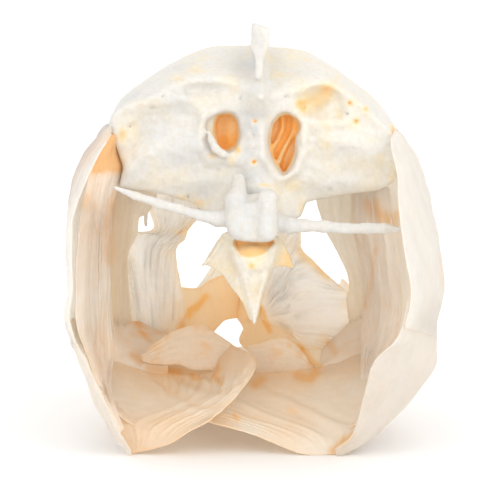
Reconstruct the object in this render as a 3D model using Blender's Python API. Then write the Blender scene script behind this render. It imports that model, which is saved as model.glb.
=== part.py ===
# Skull of a common carp, life size, resting on its lower edges, nose toward +Y.
# Bones are thin curved plates, struts and lofted blocks.  All sizes below are
# in millimetres; MM turns them into metres when the meshes are made.
import math

import bmesh
import bpy
from mathutils import Vector

MM = 0.001

# ---- driving dimensions (mm) -------------------------------------------------
ROOF_Z = 105.5          # height of the skull roof above the floor
BASE_Z = 65.5           # underside of the braincase at the back
BLOCK_HALF = 37.5       # half width of the braincase at the pterotic wings
BLOCK_BACK = -40.0      # rear face of the braincase
BLOCK_FRONT = 3.0       # front of the braincase, behind the eye sockets
CREST_TOP = 110.6       # top of the supraoccipital crest
CREST_THICK = 4.6
SEPTUM = 2.2            # thickness of the wall between the eye sockets
BONE = 0.9              # ordinary plate thickness
THIN = 0.75             # translucent plates of the palate
LAYER = 1.35            # distance between the layers of the cheek
GAP = 0.3
SNOUT_Y = 74.0
TAIL_Y = -73.5
BEND = -6.0             # the dried snout leans this far to the left
VERT = (0.7, -49.0, 61.5)   # centre of the first vertebrae
ORIGIN = Vector((-1.230, 0.264, 0.0))   # moves the middle of the base to the origin

# Rear elevation drawing: a unit is UNIT mm, seen from VIEW_D mm behind
UNIT = 0.2535
VIEW_D = 720.0
VIEW_A = math.radians(1.0)
VIEW_E = math.radians(8.0)
VIEW_T = (0.0, -40.0, 52.5)

PALE = (0.90, 0.87, 0.80)
CREAM = (0.88, 0.80, 0.68)
AMBER = (0.84, 0.70, 0.52)


# ---- small maths -------------------------------------------------------------
def curve1(xs, ys):
    """Smooth monotone function through a few stations."""
    n = len(xs)
    h = [xs[i + 1] - xs[i] for i in range(n - 1)]
    d = [(ys[i + 1] - ys[i]) / h[i] for i in range(n - 1)]
    m = [d[0]] + [0.0] * (n - 2) + [d[-1]]
    for i in range(1, n - 1):
        if d[i - 1] * d[i] > 0:
            w1, w2 = 2 * h[i] + h[i - 1], h[i] + 2 * h[i - 1]
            m[i] = (w1 + w2) / (w1 / d[i - 1] + w2 / d[i])

    def f(x):
        if x <= xs[0]:
            return ys[0] + m[0] * (x - xs[0])
        if x >= xs[-1]:
            return ys[-1] + m[-1] * (x - xs[-1])
        i = 0
        while x > xs[i + 1]:
            i += 1
        t = (x - xs[i]) / h[i]
        return ((1 + 2 * t) * (1 - t) ** 2 * ys[i] + t * (1 - t) ** 2 * h[i] * m[i]
                + t * t * (3 - 2 * t) * ys[i + 1] + t * t * (t - 1) * h[i] * m[i + 1])
    return f


def path3(*pts):
    """Catmull-Rom path through a few points, parameter 0..1."""
    P = [Vector(p) for p in pts]
    n = len(P) - 1

    def f(t):
        t = min(max(t, 0.0), 1.0) * n
        i = min(int(t), n - 1)
        t -= i
        p1, p2 = P[i], P[i + 1]
        p0 = P[i - 1] if i else 2 * p1 - p2
        p3 = P[i + 2] if i + 2 <= n else 2 * p2 - p1
        return 0.5 * (2 * p1 + (p2 - p0) * t + (2 * p0 - 5 * p1 + 4 * p2 - p3) * t * t
                      + (3 * p1 - p0 - 3 * p2 + p3) * t ** 3)
    return f


def smooth(a, b, x):
    t = min(max((x - a) / (b - a), 0.0), 1.0)
    return t * t * (3 - 2 * t)


def rear(px, py, y):
    """Point at depth y that stands at (px, py) in the rear elevation."""
    ca, sa, ce, se = math.cos(VIEW_A), math.sin(VIEW_A), math.cos(VIEW_E), math.sin(VIEW_E)
    b = Vector((sa * ce, -ca * ce, se))
    r = Vector((ca, sa, 0))
    u = Vector((-sa * se, ca * se, ce))
    c = Vector(VIEW_T) + VIEW_D * b
    d = -b + r * ((px - 250) * UNIT / VIEW_D) + u * ((250 - py) * UNIT / VIEW_D)
    return c + d * ((y - c.y) / d.y)


def rear_path(*pts):
    return path3(*[rear(*q) for q in pts])


# ---- outline of the head -----------------------------------------------------
WIDE_R = curve1((-74, -64, -50, -30, -10, 10, 35, 60, 74), (37.5, 43, 46.8, 47, 44, 37.5, 27.5, 15.5, 9))
WIDE_L = curve1((-74, -64, -50, -30, -10, 10, 35, 60, 74), (45, 45.3, 45.3, 45, 43, 37, 27, 15.5, 9))
TOP = curve1((-74, -50, -38, -20, 0, 20, 35, 50, 62, 74), (105, 105.5, 105, 103, 97, 86, 75, 62, 50, 38))
MID = curve1((-74, -50, -20, 10, 35, 60, 74), (46, 45, 44, 40, 34, 27, 25))
LOW = curve1((-74, -50, 0, 40, 60, 74), (0, 0, 0, 0, 2, 8))


def bend(y):
    return BEND * smooth(-5, 70, y)


def head(side, y, phi, d=0.0):
    """Skin of the head: station y, angle phi from the roof (deg), depth d."""
    def raw(yy, ph):
        a = math.radians(ph)
        s, c = math.sin(a), math.cos(a)
        w = (WIDE_R if side > 0 else WIDE_L)(yy)
        zc = MID(yy)
        if c >= 0:
            n = 2.15 if side > 0 else 2.5
            x, z = w * abs(s) ** (2 / n), zc + (TOP(yy) - zc) * c ** (2 / n)
        else:
            n = 2.6 if side > 0 else 3.2
            x, z = w * abs(s) ** (2 / n), zc - (zc - LOW(yy)) * abs(c) ** (2 / n)
        if side > 0:
            x *= 1 - 0.24 * smooth(-44, -66, yy) * smooth(95, 130, ph)
        else:
            x *= 1 - 0.085 * smooth(-40, -62, yy) * smooth(84, 66, ph)
        return Vector((side * x + bend(yy), yy, z))
    p = raw(y, phi)
    if d:
        e = 0.5
        n = (raw(y, phi + e) - raw(y, phi - e)).cross(raw(y + e, phi) - raw(y - e, phi))
        n.normalize()
        if n.x * side < 0 or (abs(n.x) < 0.05 and n.z * math.cos(math.radians(phi)) < 0):
            n = -n
        p = p - n * d
    return p


# ---- making solids -----------------------------------------------------------
OBJECTS = []


def material(name, rgb, rough):
    m = bpy.data.materials.new(name)
    m.use_nodes = True
    b = m.node_tree.nodes["Principled BSDF"]
    b.inputs["Base Color"].default_value = (*rgb, 1)
    b.inputs["Roughness"].default_value = rough
    b.inputs["Metallic"].default_value = 0.0
    m.diffuse_color = (*rgb, 1)
    return m


def finish(name, bm, rgb, rough=0.55, keep=True):
    bmesh.ops.recalc_face_normals(bm, faces=bm.faces)
    if bm.calc_volume(signed=True) < 0:
        bmesh.ops.reverse_faces(bm, faces=bm.faces)
    for v in bm.verts:
        v.co.z = max(v.co.z, 0.0)
        v.co = (v.co + ORIGIN) * MM
    me = bpy.data.meshes.new(name)
    bm.to_mesh(me)
    bm.free()
    ob = bpy.data.objects.new(name, me)
    bpy.context.scene.collection.objects.link(ob)
    if keep:
        me.materials.append(material(name + "_bone", rgb, rough))
        me.shade_smooth()
        me.set_sharp_from_angle(angle=math.radians(50))
        OBJECTS.append(ob)
    else:
        ob.hide_render = True
        ob.display_type = 'WIRE'
    return ob


def plate(name, f, nu, nv, th=BONE, rgb=CREAM, edge=0.35):
    """Closed curved plate: mid surface f(u, v), thinner toward its rim."""
    P = [[f(i / nu, j / nv) for j in range(nv + 1)] for i in range(nu + 1)]
    bm = bmesh.new()
    top, bot = [], []
    for i in range(nu + 1):
        rt, rb = [], []
        for j in range(nv + 1):
            a = P[min(i + 1, nu)][j] - P[max(i - 1, 0)][j]
            b = P[i][min(j + 1, nv)] - P[i][max(j - 1, 0)]
            n = a.cross(b).normalized()
            rim = i in (0, nu) or j in (0, nv)
            t = (th(i / nu, j / nv) if callable(th) else th) * (1 - edge if rim else 1)
            rt.append(bm.verts.new(P[i][j] + n * t / 2))
            rb.append(bm.verts.new(P[i][j] - n * t / 2))
        top.append(rt)
        bot.append(rb)
    for i in range(nu):
        for j in range(nv):
            bm.faces.new((top[i][j], top[i + 1][j], top[i + 1][j + 1], top[i][j + 1]))
            bm.faces.new((bot[i][j], bot[i][j + 1], bot[i + 1][j + 1], bot[i + 1][j]))
    for i in range(nu):
        bm.faces.new((top[i][0], bot[i][0], bot[i + 1][0], top[i + 1][0]))
        bm.faces.new((top[i][nv], top[i + 1][nv], bot[i + 1][nv], bot[i][nv]))
    for j in range(nv):
        bm.faces.new((top[0][j], top[0][j + 1], bot[0][j + 1], bot[0][j]))
        bm.faces.new((top[nu][j], bot[nu][j], bot[nu][j + 1], top[nu][j + 1]))
    return finish(name, bm, rgb)


def strip(*curves, bulge=(0, 0, 0)):
    """Surface through two or more edge curves, each along v, in order of u."""
    bv = Vector(bulge)

    def f(u, v):
        if len(curves) == 2:
            p = curves[0](v).lerp(curves[1](v), u)
        else:
            p = path3(*[c(v) for c in curves])(u)
        return p + bv * (math.sin(math.pi * u) * math.sin(math.pi * v) ** 0.5 if 0 < v < 1 else 0)
    return f


def rings_to_bmesh(rings):
    bm = bmesh.new()
    vs = [[bm.verts.new(p) for p in r] for r in rings]
    n = len(vs[0])
    for a, b in zip(vs, vs[1:]):
        for i in range(n):
            k = (i + 1) % n
            bm.faces.new((a[i], a[k], b[k], b[i]))
    for r in (vs[0], vs[-1]):
        c = bm.verts.new(sum((v.co for v in r), Vector()) / n)
        for i in range(n):
            bm.faces.new((r[i], r[(i + 1) % n], c))
    return bm


def tube(name, path, rad, steps=10, sides=8, up=(0, 0, 1), rgb=CREAM, keep=True):
    """Closed strut along a path; rad(t) gives its two half widths."""
    rings = []
    up = Vector(up)
    for i in range(steps + 1):
        t = i / steps
        p = path(t)
        d = (path(min(t + 0.02, 1)) - path(max(t - 0.02, 0))).normalized()
        s = d.cross(up).normalized()
        w = s.cross(d).normalized()
        a, b = rad(t)
        rings.append([p + s * a * math.cos(2 * math.pi * k / sides) + w * b * math.sin(2 * math.pi * k / sides)
                      for k in range(sides)])
    return finish(name, rings_to_bmesh(rings), rgb, keep=keep)


def loft(name, sec, steps, sides, rgb=CREAM, keep=True):
    """Closed loft: sec(t, k) gives point k (0..1) round station t (0..1)."""
    rings = [[sec(i / steps, k / sides) for k in range(sides)] for i in range(steps + 1)]
    return finish(name, rings_to_bmesh(rings), rgb, keep=keep)


def boolean(ob, other, op):
    m = ob.modifiers.new(op.title(), 'BOOLEAN')
    m.operation = op
    m.object = other
    m.solver = 'EXACT'
    m.use_self = True
    return m


# ---- neurocranium ------------------------------------------------------------
def roof_z(x, y):
    """Skull roof: a low arch, higher at the midline."""
    w = WIDE_R(y)
    return MID(y) + (TOP(y) - MID(y)) * math.sqrt(max(0.0, 1 - (min(abs(x - bend(y)), w * 0.98) / w) ** 2))


OUTLINE = path3((0, 105.5, 0), (15, 103.6, 0), (25, 97.6, 0), (32.5, 91.5, 0), (37, 84, 0), (36.6, 75, 0),
                (32.5, 68.6, 0), (21, 66, 0), (8, 64.5, 0), (0, 64.0, 0))


def build_neurocranium():
    half = curve1((-40, -30, -18, -8, 3), (36.8, 37.4, 35.5, 31.5, 25))
    crown = curve1((-40, -33, -25, -17, -8, 3), (97.5, 99.8, 102.3, 103.2, 100.2, 95.6))
    base = curve1((-40, -30, -10, 3), (65.3, 64.3, 67, 74))

    def block(t, k):
        y = BLOCK_BACK + (BLOCK_FRONT - BLOCK_BACK) * t
        q = OUTLINE(2 * k if k <= 0.5 else 2 - 2 * k)
        zb, zt = base(y), crown(y)
        g = half(y) / BLOCK_HALF * (1 - 0.03 * smooth(0.06, 0.0, t))
        x = q.x * g * (1 if k <= 0.5 else -1)
        return Vector((x + bend(y) + 0.4, y, zb + (q.y - 64.0) * (zt - zb) / 41.5))
    ob = loft("neurocranium", block, 6, 26, PALE)

    # roof plate over the eye sockets, running down to the snout
    side = curve1((-11, 2, 9, 20, 32, 42, 52), (21, 24.3, 22.8, 20, 21.5, 15, 9))

    def roof(t, k):
        y = -11 + 61 * t
        w = side(y)
        a = 2 * math.pi * k
        x = w * math.cos(a)
        z0 = TOP(y) - 2.3 + 0.7 * smooth(0, 9, y) - 0.014 * x * x * (1 + 0.6 * t)
        return Vector((x + bend(y), y, z0 + (1.6 if math.sin(a) > 0 else 2.0) * math.sin(a)))
    a1 = loft("cut_roof", roof, 7, 12, keep=False)
    # wall between the sockets with the keel bone below it
    keel = path3((0, -38, 62.5), (0, -14, 61), (bend(14), 14, 56), (bend(34), 34, 50), (bend(48), 48, 46))

    def wall(t, k):
        y = -2 + 44 * t
        zt, zk = TOP(y) - 2.4, keel((y + 38) / 86).z
        a = 2 * math.pi * k + 0.17
        return Vector((bend(y) + SEPTUM / 2 * math.copysign(abs(math.cos(a)) ** 0.7, math.cos(a)) + 0.05, y,
                       (zt + zk) / 2 + (zt - zk) / 2 * math.copysign(abs(math.sin(a)) ** 0.7, math.sin(a))))
    a2 = loft("cut_wall", wall, 5, 8, keep=False)
    a3 = tube("cut_keel", keel, lambda t: (1.9 + 6.6 * (1 - t) ** 1.6, 4.8 - 2.6 * t), 7, 10, keep=False)
    # block of the nose
    nose = path3((bend(36), 36, 64), (bend(46), 46, 57), (bend(58), 58, 49))
    a4 = tube("cut_nose", nose, lambda t: (10.5 - 5.5 * t * t, 9.5 - 4.5 * t), 4, 10, keep=False)
    # side wings of the nose block
    a5 = tube("cut_wings", path3((bend(33) - 19, 31, 66), (bend(33), 35, 68), (bend(33) + 19, 31, 66)),
              lambda t: (2.4, 3.2), 6, 8, up=(0, 0, 1), keep=False)
    # crest on the midline: a broad lip above the roof, a narrow rib down the rear face
    lean = rear(261, 40, -44).x

    def blade(t, k):
        y = -10 - 34.5 * t
        a = 2 * math.pi * k
        lift = math.sin(a)
        top = TOP(y) + 0.6 + 5.4 * t ** 1.3
        z = (top + 92) / 2 + (top - 92) / 2 * math.copysign(abs(lift) ** 0.6, lift)
        w = (1.1 + (CREST_THICK / 2 - 1.1) * smooth(99, 103, z)) * (0.55 + 0.45 * t)
        x = w * math.copysign(abs(math.cos(a)) ** 0.6, math.cos(a))
        return Vector((lean * t + x, y, z - 0.34 * x * smooth(100, 108, z)))
    a6 = loft("cut_crest", blade, 4, 12, keep=False)
    # boss for the first vertebra
    a7 = tube("cut_condyle", path3((0.4, -34, 66), (0.6, -41, 65), (0.8, -43.4, 64.5)),
              lambda t: (8.5 - 2 * t, 6.2 - 0.8 * t), 3, 12, keep=False)
    # root of the keel below it
    a8 = tube("cut_keel_root", path3((0.7, -30, 63.4), (0.8, -37, 62.9), (0.9, -42.5, 62.4)),
              lambda t: (13.0 - 2.5 * t * t, 5.2 - 0.8 * t), 2, 10, keep=False)
    for k in (a1, a2, a3, a4, a5, a6, a7, a8):
        boolean(ob, k, 'UNION')

    # two deep openings beside the midline in the rear face
    def pit(name, rim, rx, rz, tilt, depth):
        def sec(t, k):
            a = 2 * math.pi * k
            s = 1 - 0.45 * t ** 2
            x, z = rx * s * math.cos(a), rz * s * math.sin(a)
            ct, st = math.cos(tilt), math.sin(tilt)
            return Vector((rim.x + x * ct - z * st, rim.y - 5 + depth * t, rim.z + x * st + z * ct - 0.10 * depth * t))
        return loft(name, sec, 3, 14, keep=False)
    cutters = [pit("cut_left_opening", rear(222.5, 133, -40), 4.4, 5.4, 0.05, 23),
               pit("cut_right_opening", rear(285, 143, -40), 4.3, 8.0, 0.10, 23)]
    # hollows under the roof edge at the back
    for nm, px, py, w, h in (("left", 201, 88, 5.0, 1.6), ("right", 316, 101, 4.6, 2.8)):
        c = rear(px, py, -40)
        cutters.append(tube("cut_fossa_" + nm,
                            path3(c + Vector((0, -4, 0)), c + Vector((0, 1, -0.4)), c + Vector((0, 6, -1.0))),
                            lambda t, w=w, h=h: (w * (1 - 0.6 * t), h * (1 - 0.5 * t)), 3, 10, up=(0, 0, 1), keep=False))
    # hollows under the wings where the jaw arch hangs
    for s in (-1, 1):
        cutters.append(tube("cut_socket_%d" % s,
                            path3((s * 22, -26, 63.5), (s * 22, -14, 64), (s * 21, -2, 67)),
                            lambda t: (6.5, 5.0), 4, 10, up=(0, 0, 1), keep=False))
    for c in cutters:
        boolean(ob, c, 'DIFFERENCE')


# ---- first vertebrae with the long side processes ------------------------------
def build_vertebrae():
    cx, cy, cz = VERT

    def body(t, k):
        y = -45.4 - 9.8 * t
        a = 2 * math.pi * k
        w = 1 - 0.16 * math.sin(math.pi * t) + 0.05 * math.cos(3 * a)
        return Vector((cx + 6.0 * w * math.cos(a), y, cz + 5.3 * w * math.sin(a)))
    ob = loft("first_vertebrae", body, 5, 14, PALE)
    parts = []
    # side processes, seen from behind as two long thin rods
    left = path3(rear(243, 217, -50), rear(200, 214, -52), rear(158, 202, -54), rear(117, 189, -55))
    right = path3(rear(262, 216, -50), rear(305, 225, -52), rear(352, 228, -54), rear(398, 229.5, -55))
    rod = lambda t: (1.9 - 1.2 * t + 0.25 * math.sin(9 * t), 1.5 - 0.8 * t)
    parts.append(tube("cut_rod_left", left, rod, 8, 6, up=(0, 1, 0), keep=False))
    parts.append(tube("cut_rod_right", right, rod, 8, 6, up=(0, 1, 0), keep=False))
    # two knobs of the upper arch
    for nm, a, b, r in (("cut_knob_left", rear(235.5, 186, -52.5), rear(239, 232, -52.0), 2.9),
                        ("cut_knob_right", rear(267.5, 190, -54.4), rear(266.5, 239, -54.2), 3.0)):
        parts.append(tube(nm, path3(a, a.lerp(b, 0.5), b),
                          lambda t, r=r: (r * (0.65 + 0.35 * math.sin(math.pi * t)),) * 2, 4, 8, up=(0, 1, 0), keep=False))
    for k in parts:
        boolean(ob, k, 'UNION')


def build_pharyngeal_process():
    """Wedge below the vertebrae with two wings and a rear spike."""
    tip = rear(254, 325, -60)
    root = Vector((0.9, -40.0, 52.6))
    spike = path3(root, root.lerp(tip, 0.35) + Vector((0, -4.5, 0)), root.lerp(tip, 0.7) + Vector((0, -3, 0)), tip)
    wide = curve1((0, 0.12, 0.5, 0.7, 0.84, 1), (5.6, 6.2, 4.5, 2.5, 1.5, 0.6))
    ob = tube("pharyngeal_process", spike, lambda t: (wide(t), 3.6 * (1 - t) ** 0.8 + 0.7), 7, 10,
              up=(0, 1, 0), rgb=CREAM)
    parts = []
    wl = path3(rear(250, 265, -46), rear(222, 255, -50.5), rear(200, 267, -54))
    wr = path3(rear(250, 265, -46), rear(277, 258, -50), rear(293, 269, -52))
    hl = curve1((0, 0.5, 1), (3.4, 4.6, 0.6))
    hr = curve1((0, 0.5, 1), (3.4, 3.4, 0.6))
    parts.append(tube("cut_wing_left", wl, lambda t: (1.5 - 0.6 * t, hl(t)), 5, 8, up=(0, 0, 1), keep=False))
    parts.append(tube("cut_wing_right", wr, lambda t: (1.5 - 0.6 * t, hr(t)), 5, 8, up=(0, 0, 1), keep=False))
    for k in parts:
        boolean(ob, k, 'UNION')


# ---- cheek, gill cover, jaws ---------------------------------------------------
# Edges of the thin bones where they stand in the rear elevation: (across, down, depth)
OPERCLE_WIDE = {
    1: ((396, 128, -38), (404, 140, -41), (418, 165, -44), (429, 205, -46), (437.5, 247, -47), (441, 288, -47), (436, 314, -46)),
    -1: ((107, 124, -40), (100, 135, -42), (84, 158, -43), (72, 190, -43), (69, 225, -44), (68.5, 260, -45), (69.5, 290, -45),
         (67.5, 326, -45))}
OPERCLE_REAR = {
    1: ((391, 137, -51), (392, 150, -54), (397, 178, -60), (398.5, 209, -66), (401.5, 237, -70.5), (407.5, 266, -72.6), (409, 312, -71)),
    -1: ((109, 132, -50), (105, 145, -53), (92, 168, -59), (79, 200, -64), (71, 222, -68), (70, 258, -71), (71.5, 290, -71.5),
         (69.5, 322, -69))}
SUBOPERCLE = {
    1: (((418, 306, -31), (414, 342, -31), (402, 374, -31), (379, 404, -31), (346, 433, -31)),
        ((430, 306, -44), (431.5, 336, -44), (432.5, 366, -44), (400, 409, -42), (366, 441, -41), (338, 457, -41)),
        ((403, 300, -67), (392, 336, -66), (372, 363, -62), (363, 397, -57), (353, 432, -50), (334, 451, -45))),
    -1: (((87, 316, -31), (92, 346, -31), (102, 380, -31), (120, 409, -31), (140, 430, -31)),
         ((75, 318, -45), (75.5, 336, -45), (79.5, 357, -45), (97.5, 405, -44), (117, 438, -43), (132, 454, -42)),
         ((78, 316, -66), (80, 340, -65), (86, 361, -63), (104, 401, -57), (119, 432, -51), (132, 452, -46)))}
PREOPERCLE_FRONT = {
    1: ((397, 150, -12), (394, 190, -9), (392, 235, -6), (388, 290, 0), (380, 340, 6)),
    -1: ((112, 142, -12), (108, 180, -8), (107, 230, -4), (109, 290, 0), (115.5, 342, 6))}
HYOMANDIBULA = {
    1: (((313, 196, -3), (322, 225, 0), (334, 247, 3), (345, 270, 5), (349, 286, 6), (345.5, 300, 7), (348, 330, 9), (346, 354, 10)),
        ((347, 194, -10), (349, 225, -8), (357, 252, -5), (365, 282, -1), (366, 312, 2), (364, 340, 4), (360, 359, 5)),
        ((382, 192, -21), (388, 230, -22), (397, 265, -20), (398, 300, -16), (391, 336, -9), (372, 361, -3))),
    -1: (((158, 196, -5), (150, 213, -2), (140, 217, 0), (138, 232, 2), (130, 248, 4), (128, 275, 6), (136, 335, 9), (148, 361, 11)),
         ((126, 192, -13), (122, 215, -11), (116, 250, -7), (116, 300, -1), (126, 336, 4), (142, 362, 6)),
         ((105, 178, -25), (101, 205, -24), (101, 245, -22), (102, 300, -16), (113, 338, -8), (137, 362, 1)))}
QUADRATE = {
    1: (((300, 336, 24), (300, 344, 24), (304, 350, 24)), ((352, 334, 16), (350, 346, 16), (340, 358, 17))),
    -1: (((182, 322, 26), (180, 334, 26), (177, 342, 25)), ((142, 326, 17), (146, 342, 18), (155, 354, 19)))}


def tag(side):
    return "right" if side > 0 else "left"


def build_side(side):
    R = side > 0
    t = tag(side)
    H = lambda y, phi, d=0.0: head(side, y, phi, d)
    mix = lambda a, b, x: a + (b - a) * x

    # opercle, flaring to its widest line and turning in again behind it
    wide, near = rear_path(*OPERCLE_WIDE[side]), rear_path(*OPERCLE_REAR[side])
    last = 108 if R else 106
    first = lambda v: H(-21 + 2 * math.sin(math.pi * v), mix(55, last, v))
    half = lambda v: H(-34, mix(55, last - 1, v)) * 0.8 + (first(v) + wide(v)) * 0.1
    plate("opercle_" + t, strip(first, half, wide, near), 8, 9, BONE, PALE)
    # subopercle, in the layer below, carried round the lower edge
    plate("subopercle_" + t, strip(*[rear_path(*c) for c in SUBOPERCLE[side]]), 6, 7, BONE, CREAM)
    # interopercle
    plate("interopercle_" + t, lambda u, v: H(mix(18, -38, u), mix(mix(120, 120, u), mix(141, 142, u), v), LAYER * (2.25 + 0.9 * smooth(0.4, 0.8, u))), 8, 4, BONE, CREAM)
    # preopercle: upright limb and lower limb as one bent band
    k = LAYER
    front = path3(*[rear(*q) for q in PREOPERCLE_FRONT[side]], H(20, 116, 2.2))
    mid = path3(H(-18, 60, 1.2 * k), H(-18, 82, 1.2 * k), H(-15, 104, 1.2 * k), H(-4, 120, k), H(18, 122, 0.9 * k))
    back = path3(H(-28, 58, k), H(-29, 82, k), H(-28, 108, k), H(-21, 130, k), H(20, 128, 0.9 * k))
    plate("preopercle_" + t, strip(front, mid, back), 4, 10, BONE, CREAM)
    # hyomandibula: hangs from the braincase, inside the preopercle
    plate("hyomandibula_" + t, strip(*[rear_path(*c) for c in HYOMANDIBULA[side]]), 5, 8,
          lambda u, v: BONE + 1.0 * math.sin(math.pi * u) ** 2, CREAM)
    # quadrate with its jaw joint
    plate("quadrate_" + t, strip(*[rear_path(*c) for c in QUADRATE[side]]), 5, 4, lambda u, v: BONE + 1.2 * v ** 2, CREAM)


def build_pterygoids():
    """Fan plates of the palate; the right one has slipped toward the midline."""
    rows = (((208, 190, 2), (188, 189, 2), (170, 188, 2), (152, 188, 2)),
            ((204, 212, 4), (186, 212, 4), (166, 212, 4), (150, 211, 4)),
            ((190, 229, 6), (176, 230, 6), (162, 231, 7), (152.5, 229, 7)),
            ((186, 239, 7), (166, 240, 8), (150, 238, 8), (126, 236, 9)),
            ((177, 257, 9), (161, 262, 10), (142, 266, 11), (122, 268, 11)),
            ((190, 322, 12.5), (168, 336, 12.5), (148, 344, 13), (131, 345, 13.5)))
    plate("pterygoid_fan_left", strip(*[rear_path(*r) for r in rows]), 8, 5, THIN, CREAM)
    rows = (((270, 214, 6), (298, 220, 6.5), (301.5, 246, 7), (316, 262, 7), (337, 284, 7.5)),
            ((268, 270, 11), (286, 278, 11), (303, 288, 11), (350, 304, 10.5)),
            ((264, 322, 15), (284, 334, 14), (306, 348, 13), (352, 350, 12)))
    plate("pterygoid_fan_right", strip(*[rear_path(*r) for r in rows]), 6, 7, THIN, CREAM)
    # roof of the mouth, rising toward the nose block
    plate("mouth_roof_left", strip(rear_path((170, 284, 16), (196, 287.5, 20), (207, 281.5, 24), (224, 275, 30), (240.5, 280, 33)),
                                   rear_path((158, 350, 17), (186, 348, 20), (211, 335, 26), (223, 322, 33), (237, 318, 36))), 5, 6, THIN, AMBER)
    plate("mouth_roof_right", strip(rear_path((243.5, 281, 33.5), (256, 285, 31), (270, 296, 27), (284, 306, 22), (300, 312, 19)),
                                    rear_path((240, 319, 36), (243.5, 330, 33), (242, 344, 30), (264, 358, 26), (298, 360, 20))), 5, 6, THIN, AMBER)


def build_orbital_ring(side):
    H = lambda y, phi, d=0.0: head(side, y, phi, d)
    up = path3(H(2, 62, 0.4), H(3, 76, 0.4), H(12, 88, 0.4), H(23, 94, 0.4), H(34, 90, 0.4))
    dn = path3(H(-7, 62, 0.4), H(-6, 83, 0.4), H(4, 100, 0.4), H(22, 109, 0.4), H(38, 98, 0.4))
    plate("suborbitals_" + tag(side), strip(up, dn), 3, 9, BONE, CREAM)


def build_jaws(side):
    t = tag(side)
    b = bend
    # dentary and the bone behind it
    o = path3((side * 19 + b(30), 31.5, 22), (side * 17 + b(42), 43, 21), (side * 14 + b(54), 55, 17), (side * 7 + b(64), 65, 11), (side * 0.7 + b(68), 68, 8.5))
    l = path3((side * 18 + b(30), 31.5, 12), (side * 16 + b(42), 43, 7), (side * 13 + b(54), 55, 3), (side * 7 + b(63), 63, 0.1), (side * 0.7 + b(66), 66, 0.1))
    plate("dentary_" + t, strip(o, l, bulge=(side * 1.0, 0.5, 0)), 4, 9, 1.6, CREAM)
    a = path3((side * 21.8 + b(20), 31.4, 21), (side * 21.0 + b(22), 26, 13.4), (side * 20.2 + b(20), 18, 11.3))
    c = path3((side * 18.5 + b(20), 30.6, 11), (side * 19.3 + b(22), 24, 9), (side * 19.8 + b(20), 17, 8.5))
    plate("anguloarticular_" + t, strip(a, c), 3, 5, 1.5, CREAM)
    # maxilla: blade beside the mouth; premaxilla: thin bar along its lip
    m1 = path3((side * 2.2 + b(60), 61.5, 44), (side * 4.8 + b(57), 61, 35.5), (side * 11 + b(48), 53.5, 28), (side * 17.5 + b(42), 44, 25))
    m2 = path3((side * 2.4 + b(60), 66, 33), (side * 10 + b(58), 62.5, 25.5), (side * 16 + b(50), 54, 21.6), (side * 18.5 + b(42), 45, 23))
    plate("maxilla_" + t, strip(m1, m2, bulge=(side * 0.6, 0.6, 0)), 4, 7, 1.3, CREAM)
    p = path3((side * 2.1 + b(68), 70.5, 31), (side * 6 + b(66), 68.2, 25), (side * 12 + b(60), 61.2, 21.0), (side * 14.5 + b(52), 54.5, 19.0))
    tube("premaxilla_" + t, p, lambda q: (1.1, 2.6 - 1.7 * q), 6, 8, up=(0, 0, 1), rgb=CREAM)
    # palatine: plate from the nose block down to the maxilla
    r1 = path3((side * 4.6 + b(38), 32, 47.5), (side * 5.6 + b(44), 43, 41), (side * 4.2 + b(54), 54, 33))
    r2 = path3((side * 1.6 + b(38), 33, 42), (side * 1.8 + b(46), 44, 33), (side * 1.4 + b(54), 53, 25))
    plate("palatine_" + t, strip(r1, r2), 4, 5, 1.2, CREAM)


def build_hyoid():
    # leaf-shaped bars of the hyoid arch
    up = path3(rear(139, 358, -10), rear(157, 342, -9), rear(180, 332, -7), rear(209, 337, -3))
    md = path3(rear(140, 360, -11), rear(158, 354, -10), rear(182, 350, -8), rear(212, 354, -4))
    dn = path3(rear(141, 362, -11), rear(160, 366, -12), rear(184, 370, -10), rear(212, 372, -6))
    plate("hyoid_bar_left", strip(up, md, dn), 5, 8, 1.4, AMBER)
    up = path3(rear(316, 365.5, -10), rear(302, 350, -9), rear(284, 336, -7), rear(247, 345, -3))
    md = path3(rear(315, 367, -11), rear(300, 362, -10), rear(280, 356, -8), rear(250, 360, -4))
    dn = path3(rear(314, 369, -11), rear(299, 375, -12), rear(280, 374, -11), rear(258, 377, -8))
    plate("hyoid_bar_right", strip(up, md, dn), 5, 8, 1.4, AMBER)
    # small bones between the bars, reaching forward to the tongue
    tube("basihyal", path3(rear(224, 352, 2), rear(222, 356, 16), rear(224, 360, 30)), lambda t: (2.2 - t, 1.8), 6, 8, rgb=CREAM)
    # plate below the throat
    plate("urohyal", strip(rear_path((164, 377, -7), (195, 383, -7), (226, 385, -7), (262, 384, -7), (318, 376, -7)),
                           rear_path((170, 370, 10), (200, 374, 10), (226, 376, 10), (262, 375, 10), (300, 371, 10)),
                           rear_path((200, 368, 34), (214, 370, 34), (228, 371, 34), (244, 370, 34), (260, 367, 34))), 4, 6, 1.0, AMBER)


def build_kinethmoid():
    tube("kinethmoid", path3((bend(64) + 0.2, 61.5, 47), (bend(66) + 0.2, 67, 41), (bend(68) + 0.2, 70, 36)),
         lambda t: (1.2, 1.6 - 0.5 * t), 4, 6, rgb=CREAM)


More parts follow.
